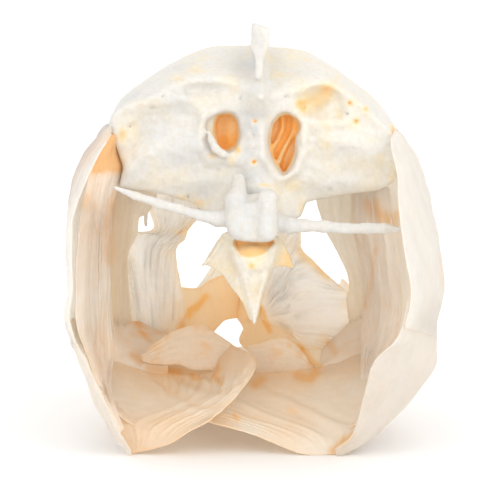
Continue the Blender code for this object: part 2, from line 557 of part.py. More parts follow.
def build_gill_fans():
    # branchiostegal rays with the dried skin between them
    rows = (((231, 346, -9), (200, 374, -13), (163, 376, -16), (130, 378, -18)),
            ((256, 360, -26), (214, 390, -30), (165, 399, -30), (126, 388, -28)),
            ((243, 389, -38), (212, 407, -40), (166, 420, -40), (135, 408, -38.5)),
            ((210, 420, -47), (190, 431.5, -47), (168, 445, -45), (134.5, 455, -42.5)))
    plate("gill_rays_left", strip(*[rear_path(*r) for r in rows]), 8, 9, BONE, AMBER)
    rows = (((238, 380, -15), (276, 377, -15), (318, 376, -15), (346, 368, -16)),
            ((232, 395, -26), (276, 401, -28), (320, 402, -29), (366, 384, -28)),
            ((220, 412, -35), (270, 423, -37), (320, 430, -38), (356, 410, -38)),
            ((206, 422, -42), (255, 437, -43), (297, 455, -43), (329, 456.5, -43)))
    plate("gill_rays_right", strip(*[rear_path(*r) for r in rows]), 8, 9, BONE, AMBER)


def clear_scene():
    for ob in list(bpy.data.objects):
        bpy.data.objects.remove(ob, do_unlink=True)


def main():
    clear_scene()
    build_neurocranium()
    build_vertebrae()
    build_pharyngeal_process()
    for side in (-1, 1):
        build_side(side)
        build_orbital_ring(side)
        build_jaws(side)
    build_pterygoids()
    build_hyoid()
    build_kinethmoid()
    build_gill_fans()


main()
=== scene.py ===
import math

import bpy
import numpy as np
from mathutils import Matrix, Vector


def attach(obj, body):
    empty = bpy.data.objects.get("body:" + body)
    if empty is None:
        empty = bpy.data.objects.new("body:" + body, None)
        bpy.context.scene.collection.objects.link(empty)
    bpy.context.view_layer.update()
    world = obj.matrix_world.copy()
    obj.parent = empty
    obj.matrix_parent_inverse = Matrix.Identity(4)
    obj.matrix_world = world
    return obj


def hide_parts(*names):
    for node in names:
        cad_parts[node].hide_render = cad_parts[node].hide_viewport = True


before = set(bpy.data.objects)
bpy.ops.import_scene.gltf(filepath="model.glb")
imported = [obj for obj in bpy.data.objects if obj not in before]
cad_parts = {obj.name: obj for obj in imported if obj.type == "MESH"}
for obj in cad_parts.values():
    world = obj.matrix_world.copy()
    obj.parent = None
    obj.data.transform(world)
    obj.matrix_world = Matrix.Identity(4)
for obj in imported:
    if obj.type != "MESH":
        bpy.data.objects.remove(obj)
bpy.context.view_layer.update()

# Skull of a common carp, life size.  Lengths are millimetres in a drawing frame
# whose rear elevation has a unit of UNIT mm; ORIGIN and MM bring it to the row frame.
MM = 0.001
ORIGIN = np.array((-1.230, 0.264, 0.0))
UNIT, VIEW_D = 0.2535, 720.0
VIEW_A, VIEW_E = math.radians(1.0), math.radians(8.0)
VIEW_T = np.array((0.0, -40.0, 52.5))
BEND = -6.0
LAYER = 1.35

CA, SA, CE, SE = math.cos(VIEW_A), math.sin(VIEW_A), math.cos(VIEW_E), math.sin(VIEW_E)
BACK = np.array((SA * CE, -CA * CE, SE))
RIGHT = np.array((CA, SA, 0.0))
UP = np.array((-SA * SE, CA * SE, CE))
EYE = VIEW_T + VIEW_D * BACK


# ---- small maths -------------------------------------------------------------
def curve1(xs, ys):
    """Smooth monotone function through a few stations."""
    xs, ys = np.array(xs, float), np.array(ys, float)
    h = np.diff(xs)
    d = np.diff(ys) / h
    m = np.concatenate(([d[0]], np.zeros(len(xs) - 2), [d[-1]]))
    for i in range(1, len(xs) - 1):
        if d[i - 1] * d[i] > 0:
            w1, w2 = 2 * h[i] + h[i - 1], h[i] + 2 * h[i - 1]
            m[i] = (w1 + w2) / (w1 / d[i - 1] + w2 / d[i])

    def f(x):
        x = np.asarray(x, float)
        i = np.clip(np.searchsorted(xs, x, side="right") - 1, 0, len(xs) - 2)
        t = (x - xs[i]) / h[i]
        y = ((1 + 2 * t) * (1 - t) ** 2 * ys[i] + t * (1 - t) ** 2 * h[i] * m[i]
             + t * t * (3 - 2 * t) * ys[i + 1] + t * t * (t - 1) * h[i] * m[i + 1])
        y = np.where(x < xs[0], ys[0] + m[0] * (x - xs[0]), y)
        return np.where(x > xs[-1], ys[-1] + m[-1] * (x - xs[-1]), y)
    return f


def catmull(P, t):
    """Catmull-Rom through the rows of P (n, ..., 3); t broadcasts against the rest."""
    n = len(P) - 1
    s = np.clip(t, 0.0, 1.0) * n
    i = np.minimum(s.astype(int), n - 1)
    s = s - i
    E = np.concatenate((2 * P[:1] - P[1:2], P, 2 * P[-1:] - P[-2:-1]))

    def pick(k):
        if P.ndim == 2:
            return E[i + k]
        j = np.broadcast_to(np.arange(P.shape[1]), i.shape)
        return E[i + k, j]
    p0, p1, p2, p3 = pick(0), pick(1), pick(2), pick(3)
    s = s[..., None]
    return 0.5 * (2 * p1 + (p2 - p0) * s + (2 * p0 - 5 * p1 + 4 * p2 - p3) * s * s
                  + (3 * p1 - p0 - 3 * p2 + p3) * s ** 3)


def path3(*pts):
    P = np.array([np.asarray(p, float) for p in pts])
    return lambda t: catmull(P, np.asarray(t, float))


def smooth(a, b, x):
    t = np.clip((np.asarray(x, float) - a) / (b - a), 0.0, 1.0)
    return t * t * (3 - 2 * t)


def mix(a, b, x):
    return a + (b - a) * x


def rear(px, py, y):
    """Point at depth y that stands at (px, py) in the rear elevation."""
    px, py = np.asarray(px, float), np.asarray(py, float)
    d = (-BACK + RIGHT * ((px[..., None] - 250) * UNIT / VIEW_D)
         + UP * ((250 - py[..., None]) * UNIT / VIEW_D))
    return EYE + d * ((np.asarray(y, float)[..., None] - EYE[1]) / d[..., 1:2])


def drawing(x, y, z):
    """Rear elevation coordinates of points of the drawing frame."""
    qx, qy, qz = x - EYE[0], y - EYE[1], z - EYE[2]
    w = -(qx * BACK[0] + qy * BACK[1] + qz * BACK[2])
    px = 250 + (qx * RIGHT[0] + qy * RIGHT[1]) / w * (VIEW_D / UNIT)
    py = 250 - (qx * UP[0] + qy * UP[1] + qz * UP[2]) / w * (VIEW_D / UNIT)
    return px, py


def noise3(x, y, z, seed=0):
    """Smooth value noise, -1..1, one feature per unit."""
    x, y, z = np.broadcast_arrays(x, y, z)
    fx, fy, fz = np.floor(x), np.floor(y), np.floor(z)
    tx, ty, tz = x - fx, y - fy, z - fz
    tx, ty, tz = (t * t * t * (t * (t * 6 - 15) + 10) for t in (tx, ty, tz))
    ix, iy, iz = (f.astype(np.int64) for f in (fx, fy, fz))

    def h(a, b, c):
        n = ((a * 374761393 + b * 668265263 + c * 1274126177 + seed * 97531) & 0xFFFFFFFF)
        n = ((n ^ (n >> 13)) * 1103515245) & 0xFFFFFFFF
        n = ((n ^ (n >> 16)) * 2654435761) & 0xFFFFFFFF
        return (n >> 8) / float(1 << 24)
    out = 0
    for a in (0, 1):
        for b in (0, 1):
            for c in (0, 1):
                w = (tx if a else 1 - tx) * (ty if b else 1 - ty) * (tz if c else 1 - tz)
                out = out + w * h(ix + a, iy + b, iz + c)
    return out * 2 - 1


def fbm(x, y, z, seed=0, octaves=3):
    s, a, n = 0, 1.0, 0.0
    for k in range(octaves):
        s = s + a * noise3(x * 2 ** k, y * 2 ** k, z * 2 ** k, seed + 17 * k)
        n += a
        a *= 0.5
    return s / n


# ---- outline of the head -----------------------------------------------------
WIDE_R = curve1((-74, -64, -50, -30, -10, 10, 35, 60, 74), (37.5, 43, 46.8, 47, 44, 37.5, 27.5, 15.5, 9))
WIDE_L = curve1((-74, -64, -50, -30, -10, 10, 35, 60, 74), (45, 45.3, 45.3, 45, 43, 37, 27, 15.5, 9))
TOP = curve1((-74, -50, -38, -20, 0, 20, 35, 50, 62, 74), (105, 105.5, 105, 103, 97, 86, 75, 62, 50, 38))
MID = curve1((-74, -50, -20, 10, 35, 60, 74), (46, 45, 44, 40, 34, 27, 25))
LOW = curve1((-74, -50, 0, 40, 60, 74), (0, 0, 0, 0, 2, 8))


def bend(y):
    return BEND * smooth(-5, 70, y)


def head(side, y, phi, d=0.0):
    """Skin of the head: station y, angle phi from the roof (deg), depth d."""
    y, phi = np.broadcast_arrays(np.asarray(y, float), np.asarray(phi, float))

    def raw(yy, ph):
        a = np.radians(ph)
        s, c = np.abs(np.sin(a)), np.cos(a)
        w = (WIDE_R if side > 0 else WIDE_L)(yy)
        zc = MID(yy)
        nu, nl = (2.15, 2.6) if side > 0 else (2.5, 3.2)
        n = np.where(c >= 0, nu, nl)
        x = w * s ** (2 / n)
        z = np.where(c >= 0, zc + (TOP(yy) - zc) * np.abs(c) ** (2 / n), zc - (zc - LOW(yy)) * np.abs(c) ** (2 / n))
        if side > 0:
            x = x * (1 - 0.24 * smooth(-44, -66, yy) * smooth(95, 130, ph))
        else:
            x = x * (1 - 0.085 * smooth(-40, -62, yy) * smooth(84, 66, ph))
        return np.stack((side * x + bend(yy), yy, z), -1)
    p = raw(y, phi)
    e = 0.5
    n = np.cross(raw(y, phi + e) - raw(y, phi - e), raw(y + e, phi) - raw(y - e, phi))
    n /= np.linalg.norm(n, axis=-1, keepdims=True) + 1e-12
    flip = (n[..., 0] * side < 0) | ((np.abs(n[..., 0]) < 0.05) & (n[..., 2] * np.cos(np.radians(phi)) < 0))
    n = np.where(flip[..., None], -n, n)
    return p - n * np.asarray(d)[..., None]


# ---- materials ---------------------------------------------------------------
def bone_material(name, base, amber, pale, sss=0.6, radius=(1.0, 0.8, 0.62), depth=0.004, rough=0.5,
                  mottle=0.5, fine=900.0, bump=0.25, stretch=(1, 1, 1), through=0.0, honey=None):
    """Dry bone: amount of amber and of chalk white come from the surface itself; the amber holds stains and painted
    shade.
    """
    m = bpy.data.materials.new(name)
    m.use_nodes = True
    nt = m.node_tree
    b = nt.nodes["Principled BSDF"]
    N, Lk = nt.nodes.new, nt.links.new
    co = N("ShaderNodeTexCoord")
    mp = N("ShaderNodeMapping")
    mp.inputs["Scale"].default_value = stretch
    Lk(co.outputs["Object"], mp.inputs["Vector"])

    def tex(scale, detail, rgh, dist=0.0):
        t = N("ShaderNodeTexNoise")
        t.inputs["Scale"].default_value = scale
        t.inputs["Detail"].default_value = detail
        t.inputs["Roughness"].default_value = rgh
        t.inputs["Distortion"].default_value = dist
        Lk(mp.outputs[0], t.inputs["Vector"])
        return t

    def remap(src, lo, hi, a, c):
        r = N("ShaderNodeMapRange")
        r.inputs["From Min"].default_value = lo
        r.inputs["From Max"].default_value = hi
        r.inputs["To Min"].default_value = a
        r.inputs["To Max"].default_value = c
        Lk(src, r.inputs["Value"])
        return r.outputs[0]

    def math2(op, a, c):
        k = N("ShaderNodeMath")
        k.operation = op
        k.use_clamp = op != "MULTIPLY"
        for s, v in zip(k.inputs, (a, c)):
            if isinstance(v, (int, float)):
                s.default_value = v
            else:
                Lk(v, s)
        return k.outputs[0]

    def blend(fac, a, c):
        k = N("ShaderNodeMix")
        k.data_type = "RGBA"
        k.clamp_factor = True
        Lk(fac, k.inputs[0])
        for s, v in ((k.inputs[6], a), (k.inputs[7], c)):
            if isinstance(v, tuple):
                s.default_value = (*v, 1)
            else:
                Lk(v, s)
        return k.outputs[2]

    at = N("ShaderNodeAttribute")
    at.attribute_name = "amber"
    wt = N("ShaderNodeAttribute")
    wt.attribute_name = "pale"
    n1 = tex(70.0, 4.0, 0.55, 0.6)
    n2 = tex(260.0, 5.0, 0.6, 0.3)
    n3 = tex(fine, 6.0, 0.62)
    am = math2("ADD", at.outputs["Fac"], remap(n1.outputs["Fac"], 0.35, 0.75, -0.10 * mottle, 0.22 * mottle))
    am = math2("ADD", am, remap(n2.outputs["Fac"], 0.45, 0.8, -0.04 * mottle, 0.16 * mottle))
    if honey:   # faint amber is yellow, strong amber orange; amber holds stains and painted shade
        c1 = blend(remap(am, 0.30, 0.90, 0.0, 1.0), blend(remap(am, 0.0, 0.42, 0.0, 1.0), base, honey), amber)
    else:
        c1 = blend(am, base, amber)
    pw = math2("MULTIPLY", wt.outputs["Fac"], remap(n2.outputs["Fac"], 0.3, 0.7, 0.8, 1.15))
    c2 = blend(pw, c1, pale)
    dk = N("ShaderNodeMix")
    dk.data_type = "RGBA"
    dk.blend_type = "MULTIPLY"
    dk.inputs[0].default_value = 0.5 * mottle
    Lk(c2, dk.inputs[6])
    rp = N("ShaderNodeValToRGB")
    rp.color_ramp.elements[0].position = 0.35
    rp.color_ramp.elements[0].color = (0.88, 0.80, 0.68, 1)
    rp.color_ramp.elements[1].position = 0.6
    rp.color_ramp.elements[1].color = (1, 1, 1, 1)
    Lk(n3.outputs["Fac"], rp.inputs[0])
    Lk(rp.outputs[0], dk.inputs[7])
    Lk(dk.outputs[2], b.inputs["Base Color"])
    Lk(remap(n2.outputs["Fac"], 0.3, 0.75, rough - 0.10, rough + 0.14), b.inputs["Roughness"])
    bp = N("ShaderNodeBump")
    bp.inputs["Strength"].default_value = bump
    bp.inputs["Distance"].default_value = 0.0003
    hs = math2("ADD", math2("MULTIPLY", n3.outputs["Fac"], 0.5), math2("MULTIPLY", n2.outputs["Fac"], 0.5))
    Lk(hs, bp.inputs["Height"])
    Lk(bp.outputs[0], b.inputs["Normal"])
    b.inputs["Subsurface Weight"].default_value = sss
    b.inputs["Subsurface Radius"].default_value = radius
    b.inputs["Subsurface Scale"].default_value = depth
    b.inputs["Specular IOR Level"].default_value = 0.35
    if through:      # thin bone lets light through
        tr = N("ShaderNodeBsdfTranslucent")
        Lk(dk.outputs[2], tr.inputs["Color"])
        Lk(bp.outputs[0], tr.inputs["Normal"])
        mx = N("ShaderNodeMixShader")
        mx.inputs[0].default_value = through
        Lk(b.outputs[0], mx.inputs[1])
        Lk(tr.outputs[0], mx.inputs[2])
        Lk(mx.outputs[0], nt.nodes["Material Output"].inputs["Surface"])
    return m


CHALK = (0.625, 0.62, 0.605)
# amber hue of stains and of the painted shade on the thin bones
AMBER = (0.98, 0.67, 0.34)
MAT = {
    "skull_bone": bone_material("skull_bone", (0.725, 0.70, 0.65), (0.95, 0.47, 0.125), CHALK, honey=(0.80, 0.675, 0.43),
                                sss=0.3, depth=0.002, rough=0.52, bump=0.4, mottle=0.8),
    "cover_bone": bone_material("cover_bone", (1.0, 0.985, 0.945), AMBER, (0.845, 0.845, 0.84),
                                sss=0.1, depth=0.003, rough=0.45, mottle=0.3, bump=0.15, stretch=(1, 1, 0.35), through=0.66),
    "hyoid_bone": bone_material("hyoid_bone", (0.99, 0.955, 0.885), AMBER, CHALK,
                                sss=0.1, depth=0.003, rough=0.45, mottle=0.35, bump=0.18, through=0.48),
    "palate_bone": bone_material("palate_bone", (1.0, 0.98, 0.93), (0.98, 0.71, 0.36), CHALK,
                                 sss=0.1, depth=0.003, rough=0.42, mottle=0.35, bump=0.18, stretch=(1, 1, 0.5), through=0.64),
}


# its orange amber colour also gives the painted shade in the left upper corner of the lining
SKIN = bone_material("dried_skin", (1.0, 0.985, 0.945), (0.94, 0.60, 0.29), (0.87, 0.87, 0.865), sss=0.1, depth=0.003, rough=0.42,
                     mottle=0.35, bump=0.18, stretch=(1, 1, 0.4), through=0.3)


# ---- making meshes -----------------------------------------------------------
def make(name, node, slot, V, F, amber, pale, mat=None):
    """Mesh object from points in the drawing frame; also sets its surface values."""
    V = (V + ORIGIN) * MM
    V[:, 2] = np.maximum(V[:, 2], 0.0)
    me = bpy.data.meshes.new(name)
    me.vertices.add(len(V))
    me.vertices.foreach_set("co", V.astype(np.float32).ravel())
    k = F.shape[1]
    me.loops.add(F.size)
    me.loops.foreach_set("vertex_index", F.astype(np.int32).ravel())
    me.polygons.add(len(F))
    me.polygons.foreach_set("loop_start", np.arange(0, F.size, k, dtype=np.int32))
    me.polygons.foreach_set("loop_total", np.full(len(F), k, dtype=np.int32))
    me.update(calc_edges=True)
    me.validate()
    me.shade_smooth()
    for key, val in (("amber", amber), ("pale", pale)):
        a = me.attributes.new(key, "FLOAT", "POINT")
        a.data.foreach_set("value", np.clip(np.broadcast_to(val, len(V)), 0, 1).astype(np.float32))
    me.materials.append(mat or MAT[slot])
    ob = bpy.data.objects.new(name, me)
    bpy.context.scene.collection.objects.link(ob)
    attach(ob, "root")
    if node:
        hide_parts(node)
    return ob


def cluster(n, k=0.75):
    s = np.linspace(0, 1, n)
    return s - k * np.sin(2 * math.pi * s) / (2 * math.pi)


def strip(*curves):
    """Surface through two or more edge curves, each along v, in order of u."""
    def f(U, V):
        v = V[0]
        P = np.stack([c(v) for c in curves])
        if len(curves) == 2:
            return P[0][None] * (1 - U[..., None]) + P[1][None] * U[..., None]
        return catmull(P, U)
    return f


def plate(name, node, slot, f, nu, nv, th=0.9, relief=None, amber=0.0, pale=0.0, rag=(0, 0, 0, 0), seed=1,
          wave=0.25, rim=None, mat=None, edge_tint=0.15):
    """Closed curved plate with a thin rounded rim.  rag: wear of the edges u0, u1, v0, v1."""
    U, V = np.meshgrid(cluster(nu + 1), cluster(nv + 1), indexing="ij")
    r = lambda t, k: 0.5 + 0.5 * fbm(t * 9.0, t * 0 + k, t * 0 + seed, seed, 3)
    u0, u1 = rag[0] * r(V, 0.3), 1 - rag[1] * r(V, 5.3)
    v0, v1 = rag[2] * r(U, 9.3), 1 - rag[3] * r(U, 13.3)
    Uw, Vw = mix(u0, u1, U), mix(v0, v1, V)
    if any(rag[2:]):   # curves are sampled along v, so worn v edges blend between stations
        base = f(*np.meshgrid(U[:, 0], np.linspace(0, 1, 241), indexing="ij"))
        s = np.clip(Vw, 0, 1) * 240
        i = np.minimum(s.astype(int), 239)
        w = (s - i)[..., None]
        rows = np.arange(nu + 1)[:, None]
        if any(rag[:2]):
            full = f(*np.meshgrid(np.linspace(0, 1, 241), np.linspace(0, 1, 241), indexing="ij"))
            q = np.clip(Uw, 0, 1) * 240
            j = np.minimum(q.astype(int), 239)
            x = (q - j)[..., None]
            P = ((full[j, i] * (1 - w) + full[j, i + 1] * w) * (1 - x)
                 + (full[j + 1, i] * (1 - w) + full[j + 1, i + 1] * w) * x)
        else:
            P = base[rows, i] * (1 - w) + base[rows, i + 1] * w
    else:
        P = f(Uw, V)
    du = np.gradient(P, axis=0)
    dv = np.gradient(P, axis=1)
    n = np.cross(du, dv)
    n /= np.linalg.norm(n, axis=-1, keepdims=True) + 1e-12
    # distance to the rim, in millimetres
    su = np.concatenate((np.zeros((1, nv + 1)), np.cumsum(np.linalg.norm(np.diff(P, axis=0), axis=-1), axis=0)))
    sv = np.concatenate((np.zeros((nu + 1, 1)), np.cumsum(np.linalg.norm(np.diff(P, axis=1), axis=-1), axis=1)), axis=1)
    dist = np.minimum(np.minimum(su, su[-1:] - su), np.minimum(sv, sv[:, -1:] - sv))
    t = th(U, V) if callable(th) else np.full(U.shape, th)
    thin = smooth(0, 5.0, dist) * 0.45 + 0.55
    k = np.clip(dist / (0.6 * t), 0, 1)
    half = t / 2 * thin * np.sqrt(1 - (1 - k) ** 2 * 0.98)
    x, y, z = P[..., 0], P[..., 1], P[..., 2]
    w = wave * fbm(x / 9, y / 9, z / 9, seed + 3, 3)
    axis = np.stack((bend(y), y, MID(y)), -1)
    outward = (n * (P - axis)).sum() > 0
    top = P + n * (half + w)[..., None]
    bot = P + n * (-half + w)[..., None]
    if relief is not None:
        a, c = relief(U, V, P) if outward else relief(U, V, P)[::-1]
        fade = smooth(0, 1.5, dist)
        top = top + n * (a * fade)[..., None]
        bot = bot - n * (c * fade)[..., None]
    N = (nu + 1) * (nv + 1)
    idx = np.arange(N).reshape(nu + 1, nv + 1)
    q = np.stack((idx[:-1, :-1], idx[1:, :-1], idx[1:, 1:], idx[:-1, 1:]), -1).reshape(-1, 4)
    ring = np.concatenate((idx[:-1, 0], idx[-1, :-1], idx[:0:-1, -1], idx[0, :0:-1]))
    nxt = np.roll(ring, -1)
    F = np.concatenate((q, q[:, ::-1] + N, np.stack((nxt, ring, ring + N, nxt + N), -1)))
    pts = np.concatenate((top.reshape(-1, 3), bot.reshape(-1, 3)))
    side = np.concatenate((np.zeros(N), np.ones(N)) if outward else (np.ones(N), np.zeros(N)))
    uu, vv, dd = (np.tile(a.ravel(), 2) for a in (U, V, dist))
    A = amber(pts, side, uu, vv, dd) if callable(amber) else np.full(2 * N, float(amber))
    W = pale(pts, side, uu, vv, dd) if callable(pale) else np.full(2 * N, float(pale))
    # stains and painted crease shade from the table below; on cover bones only the inner face gets them
    A = A + edge_tint * smooth(1.2, 0.0, dd) + stain_and_crease_shade(pts, side if slot == "cover_bone" else 1.0)
    # an inside-out grid is turned round
    c = pts[F[:len(q)]].mean(1)
    m = np.cross(pts[F[:len(q), 1]] - pts[F[:len(q), 0]], pts[F[:len(q), 2]] - pts[F[:len(q), 0]])
    if (m * (pts[F[:len(q), 0]] - pts[F[:len(q), 0] + N])).sum() < 0:
        F = F[:, ::-1]
    return make(name, node, slot, pts, F, A, W, mat)


STAINS_AND_CREASE_SHADE = (   # amber in folds and joints, and painted shade in creases and under edges: points of a line in the elevation, width, strength, depth range
    ([(119, 137), (108, 154), (99, 164)], 9, 1.3, -52, 8), ([(119, 140), (116, 152), (116, 163)], 9, 1.3, -52, 8), ([(112, 191), (107, 225), (108, 262)], 4, 0.45, -40, 10),
    ([(87, 197), (82, 206)], 4, 0.4, -60, 0), ([(205, 297), (195, 307), (186, 316), (180, 329)], 3.5, 0.75, 0, 60),
    ([(262, 308), (266, 320), (270, 331)], 2.6, 0.8, 0, 60), ([(372, 204), (378, 214), (388, 220)], 8, 0.75, -40, 5),
    ([(397, 214), (394, 224)], 4, 0.6, -60, -10), ([(376, 249), (371, 280), (366, 307)], 2.6, 0.35, -30, 20),
    ([(283, 237), (300, 254), (313, 264), (326, 277)], 4, 0.5, -5, 20), ([(331, 452), (342, 443), (352, 434)], 3.2, 0.7, -60, -30),
    ([(377, 384), (380, 388)], 1.8, 0.7, -60, -20), ([(150, 369), (163, 371), (178, 372)], 4.5, 0.55, -30, 0),
    ([(192, 376), (198, 379)], 3, 0.7, -30, 0), ([(298, 376), (310, 379), (318, 371)], 4.5, 0.7, -30, 0),
    ([(300, 345), (312, 362), (320, 366)], 3, 0.6, -20, 25), ([(139, 362), (135, 356)], 4, 0.5, -30, 5),
    ([(136, 322), (142, 332), (150, 340)], 3.5, 0.45, -10, 25), ([(234, 415), (238, 419)], 2.6, 0.6, -45, -20),
    ([(254, 386), (262, 380)], 4, 0.5, -45, 0), ([(325, 336), (330, 345), (334, 352)], 4, 0.45, -20, 25),
    ([(170, 230), (180, 233), (190, 228)], 3, 0.4, -5, 20), ([(222, 384), (216, 376), (219, 368)], 3, 0.5, -30, 0),
    ([(438, 252), (440, 270), (438, 286)], 3.0, 0.6, -60, -30), ([(288, 409), (294, 412)], 3, 0.35, -45, -15))


def stain_and_crease_shade(p, side):
    px, py = drawing(p[:, 0], p[:, 1], p[:, 2])
    px = px + 2.0 * noise3(p[:, 0] / 2.5, p[:, 1] / 4, p[:, 2] / 2.5, 301)
    out = np.zeros(len(p))
    for line, w, a, y0, y1 in STAINS_AND_CREASE_SHADE:
        out = np.maximum(out, a * line2(px, py, line, w, w) * ((p[:, 1] > y0) & (p[:, 1] < y1)))
    return out * side


# ---- solids from distance fields ---------------------------------------------
def nets(F, lo, h):
    """Closed quads of the zero surface of F on a regular grid (inside is negative)."""
    F = F.copy()
    for ax in range(3):      # nothing runs out of the grid
        for end in (0, -1):
            cut = [slice(None)] * 3
            cut[ax] = end
            F[tuple(cut)] = np.maximum(F[tuple(cut)], 0.05)
    s = F < 0
    nx, ny, nz = F.shape
    c = np.zeros((nx - 1, ny - 1, nz - 1), np.int8)
    for a in (0, 1):
        for b in (0, 1):
            for d in (0, 1):
                c += s[a:nx - 1 + a, b:ny - 1 + b, d:nz - 1 + d]
    act = (c > 0) & (c < 8)
    I = np.argwhere(act)
    num = np.full(act.shape, -1, np.int64)
    num[act] = np.arange(len(I))
    corner = {}
    for a in (0, 1):
        for b in (0, 1):
            for d in (0, 1):
                corner[a, b, d] = F[I[:, 0] + a, I[:, 1] + b, I[:, 2] + d]
    acc = np.zeros((len(I), 3))
    cnt = np.zeros(len(I))
    for ax in range(3):
        for p in (0, 1):
            for q in (0, 1):
                k0 = [p, q]
                k0.insert(ax, 0)
                k1 = [p, q]
                k1.insert(ax, 1)
                f0, f1 = corner[tuple(k0)], corner[tuple(k1)]
                on = (f0 < 0) != (f1 < 0)
                t = np.where(on, f0 / np.where(on, f0 - f1, 1), 0)
                pos = np.tile(np.array(k0, float), (len(I), 1))
                pos[:, ax] += t
                acc[on] += pos[on]
                cnt[on] += 1
    V = (I + acc / cnt[:, None]) * h + np.array(lo)
    quads = []
    for ax in range(3):
        o = [a for a in range(3) if a != ax]
        a0 = [slice(1, -1)] * 3
        a0[ax] = slice(0, -1)
        a1 = list(a0)
        a1[ax] = slice(1, None)
        s0, s1 = s[tuple(a0)], s[tuple(a1)]
        for flip, on in ((False, s0 & ~s1), (True, ~s0 & s1)):
            J = np.argwhere(on)
            J[:, o[0]] += 1
            J[:, o[1]] += 1
            def cell(da, db):
                K = J.copy()
                K[:, o[0]] -= da
                K[:, o[1]] -= db
                return num[K[:, 0], K[:, 1], K[:, 2]]
            q = np.stack((cell(1, 1), cell(0, 1), cell(0, 0), cell(1, 0)), -1)
            if flip != (ax == 1):
                q = q[:, ::-1]
            quads.append(q)
    Q = np.concatenate(quads)
    return V, Q[(Q >= 0).all(1)]


def relax(V, F, rounds=2, k=0.5):
    """Evens out the net without changing its shape much."""
    n = len(V)
    e = np.concatenate([F[:, [i, (i + 1) % 4]] for i in range(4)])
    for r in range(rounds):
        for w in (k, -k * 0.9):
            acc = np.zeros_like(V)
            cnt = np.bincount(e[:, 0], minlength=n).astype(float)
            for a in range(3):
                acc[:, a] = np.bincount(e[:, 0], V[e[:, 1], a], n)
            V = V + w * (acc / np.maximum(cnt, 1)[:, None] - V)
    return V


def smin(a, b, k):
    h = np.maximum(k - np.abs(a - b), 0.0) / k
    return np.minimum(a, b) - h * h * k * 0.25


def smax(a, b, k):
    return -smin(-a, -b, k)


def capsule(X, Y, Z, a, b, ra, rb, sx=1.0, sy=1.0, sz=1.0):
    """Round strut from a to b with end radii; s* flatten it along an axis."""
    a, b = np.asarray(a, float), np.asarray(b, float)
    s = np.array((sx, sy, sz))
    px, py, pz = (X - a[0]) / sx, (Y - a[1]) / sy, (Z - a[2]) / sz
    d = (b - a) / s
    L = max(float(d @ d), 1e-9)
    t = np.clip((px * d[0] + py * d[1] + pz * d[2]) / L, 0, 1)
    r = ra + (rb - ra) * t
    return (np.sqrt((px - d[0] * t) ** 2 + (py - d[1] * t) ** 2 + (pz - d[2] * t) ** 2) - r) * min(sx, sy, sz)


def chain(X, Y, Z, pts, rad, k=0.6):
    """Run of struts through points with a radius at each."""
    out = None
    for (p, q), (r, s) in zip(zip(pts, pts[1:]), zip(rad, rad[1:])):
        f = capsule(X, Y, Z, p, q, r, s)
        out = f if out is None else smin(out, f, k)
    return out


def ellipsoid(X, Y, Z, c, r):
    k = np.sqrt(((X - c[0]) / r[0]) ** 2 + ((Y - c[1]) / r[1]) ** 2 + ((Z - c[2]) / r[2]) ** 2)
    return (k - 1) * min(r)


class Table:
    """Values over the rear elevation, looked up by its coordinates."""

    def __init__(self, x0, y0, x1, y1, step=1.0):
        self.x0, self.y0, self.step = x0, y0, step
        self.X, self.Y = np.meshgrid(np.arange(x0, x1 + step, step), np.arange(y0, y1 + step, step), indexing="ij")
        self.val = np.zeros(self.X.shape)

    def __call__(self, px, py):
        s = np.clip((px - self.x0) / self.step, 0, self.X.shape[0] - 1.001)
        t = np.clip((py - self.y0) / self.step, 0, self.X.shape[1] - 1.001)
        i, j = s.astype(np.int32), t.astype(np.int32)
        s, t = s - i, t - j
        v = self.val
        return ((v[i, j] * (1 - s) + v[i + 1, j] * s) * (1 - t) + (v[i, j + 1] * (1 - s) + v[i + 1, j + 1] * s) * t)


def ring2(X, Y, pts, samples=8):
    """Signed distance (inside negative) to a smooth closed curve through pts."""
    P = np.array(pts, float)
    n = len(P)
    t = np.arange(n * samples) / samples
    i = t.astype(int)
    s = (t - i)[:, None]
    p0, p1, p2, p3 = (P[(i + k) % n] for k in (-1, 0, 1, 2))
    C = 0.5 * (2 * p1 + (p2 - p0) * s + (2 * p0 - 5 * p1 + 4 * p2 - p3) * s * s + (3 * p1 - p0 - 3 * p2 + p3) * s ** 3)
    best = np.full(X.shape, 1e18)
    inside = np.zeros(X.shape, bool)
    for a, b in zip(C, np.roll(C, -1, axis=0)):
        d = b - a
        u = np.clip(((X - a[0]) * d[0] + (Y - a[1]) * d[1]) / max(d @ d, 1e-9), 0, 1)
        best = np.minimum(best, (X - a[0] - d[0] * u) ** 2 + (Y - a[1] - d[1] * u) ** 2)
        cross = (a[1] > Y) != (b[1] > Y)
        inside ^= cross & (X < a[0] + (Y - a[1]) * d[0] / (d[1] if abs(d[1]) > 1e-9 else 1e-9))
    best = np.sqrt(best)
    return np.where(inside, -best, best)


def grid3(lo, hi, h):
    ax = [np.arange(a, b + h, h) for a, b in zip(lo, hi)]
    X, Y, Z = np.meshgrid(*ax, indexing="ij", sparse=True)
    return X.astype(np.float32), Y.astype(np.float32), Z.astype(np.float32)


def bump2(X, Y, cx, cy, rx, ry, turn=0.0):
    c, s = math.cos(turn), math.sin(turn)
    x, y = X - cx, Y - cy
    a, b = (x * c + y * s) / rx, (-x * s + y * c) / ry
    return np.exp(-(a * a + b * b))


def line2(X, Y, pts, w0, w1):
    """Soft ridge along a line of points in the elevation."""
    out = np.zeros(X.shape)
    P = np.array(pts, float)
    n = len(P) - 1
    for k in range(n):
        a, b = P[k], P[k + 1]
        d = b - a
        u = np.clip(((X - a[0]) * d[0] + (Y - a[1]) * d[1]) / (d @ d), 0, 1)
        r = np.sqrt((X - a[0] - d[0] * u) ** 2 + (Y - a[1] - d[1] * u) ** 2)
        w = mix(w0, w1, (k + u) / n)
        out = np.maximum(out, np.exp(-(r / w) ** 2))
    return out


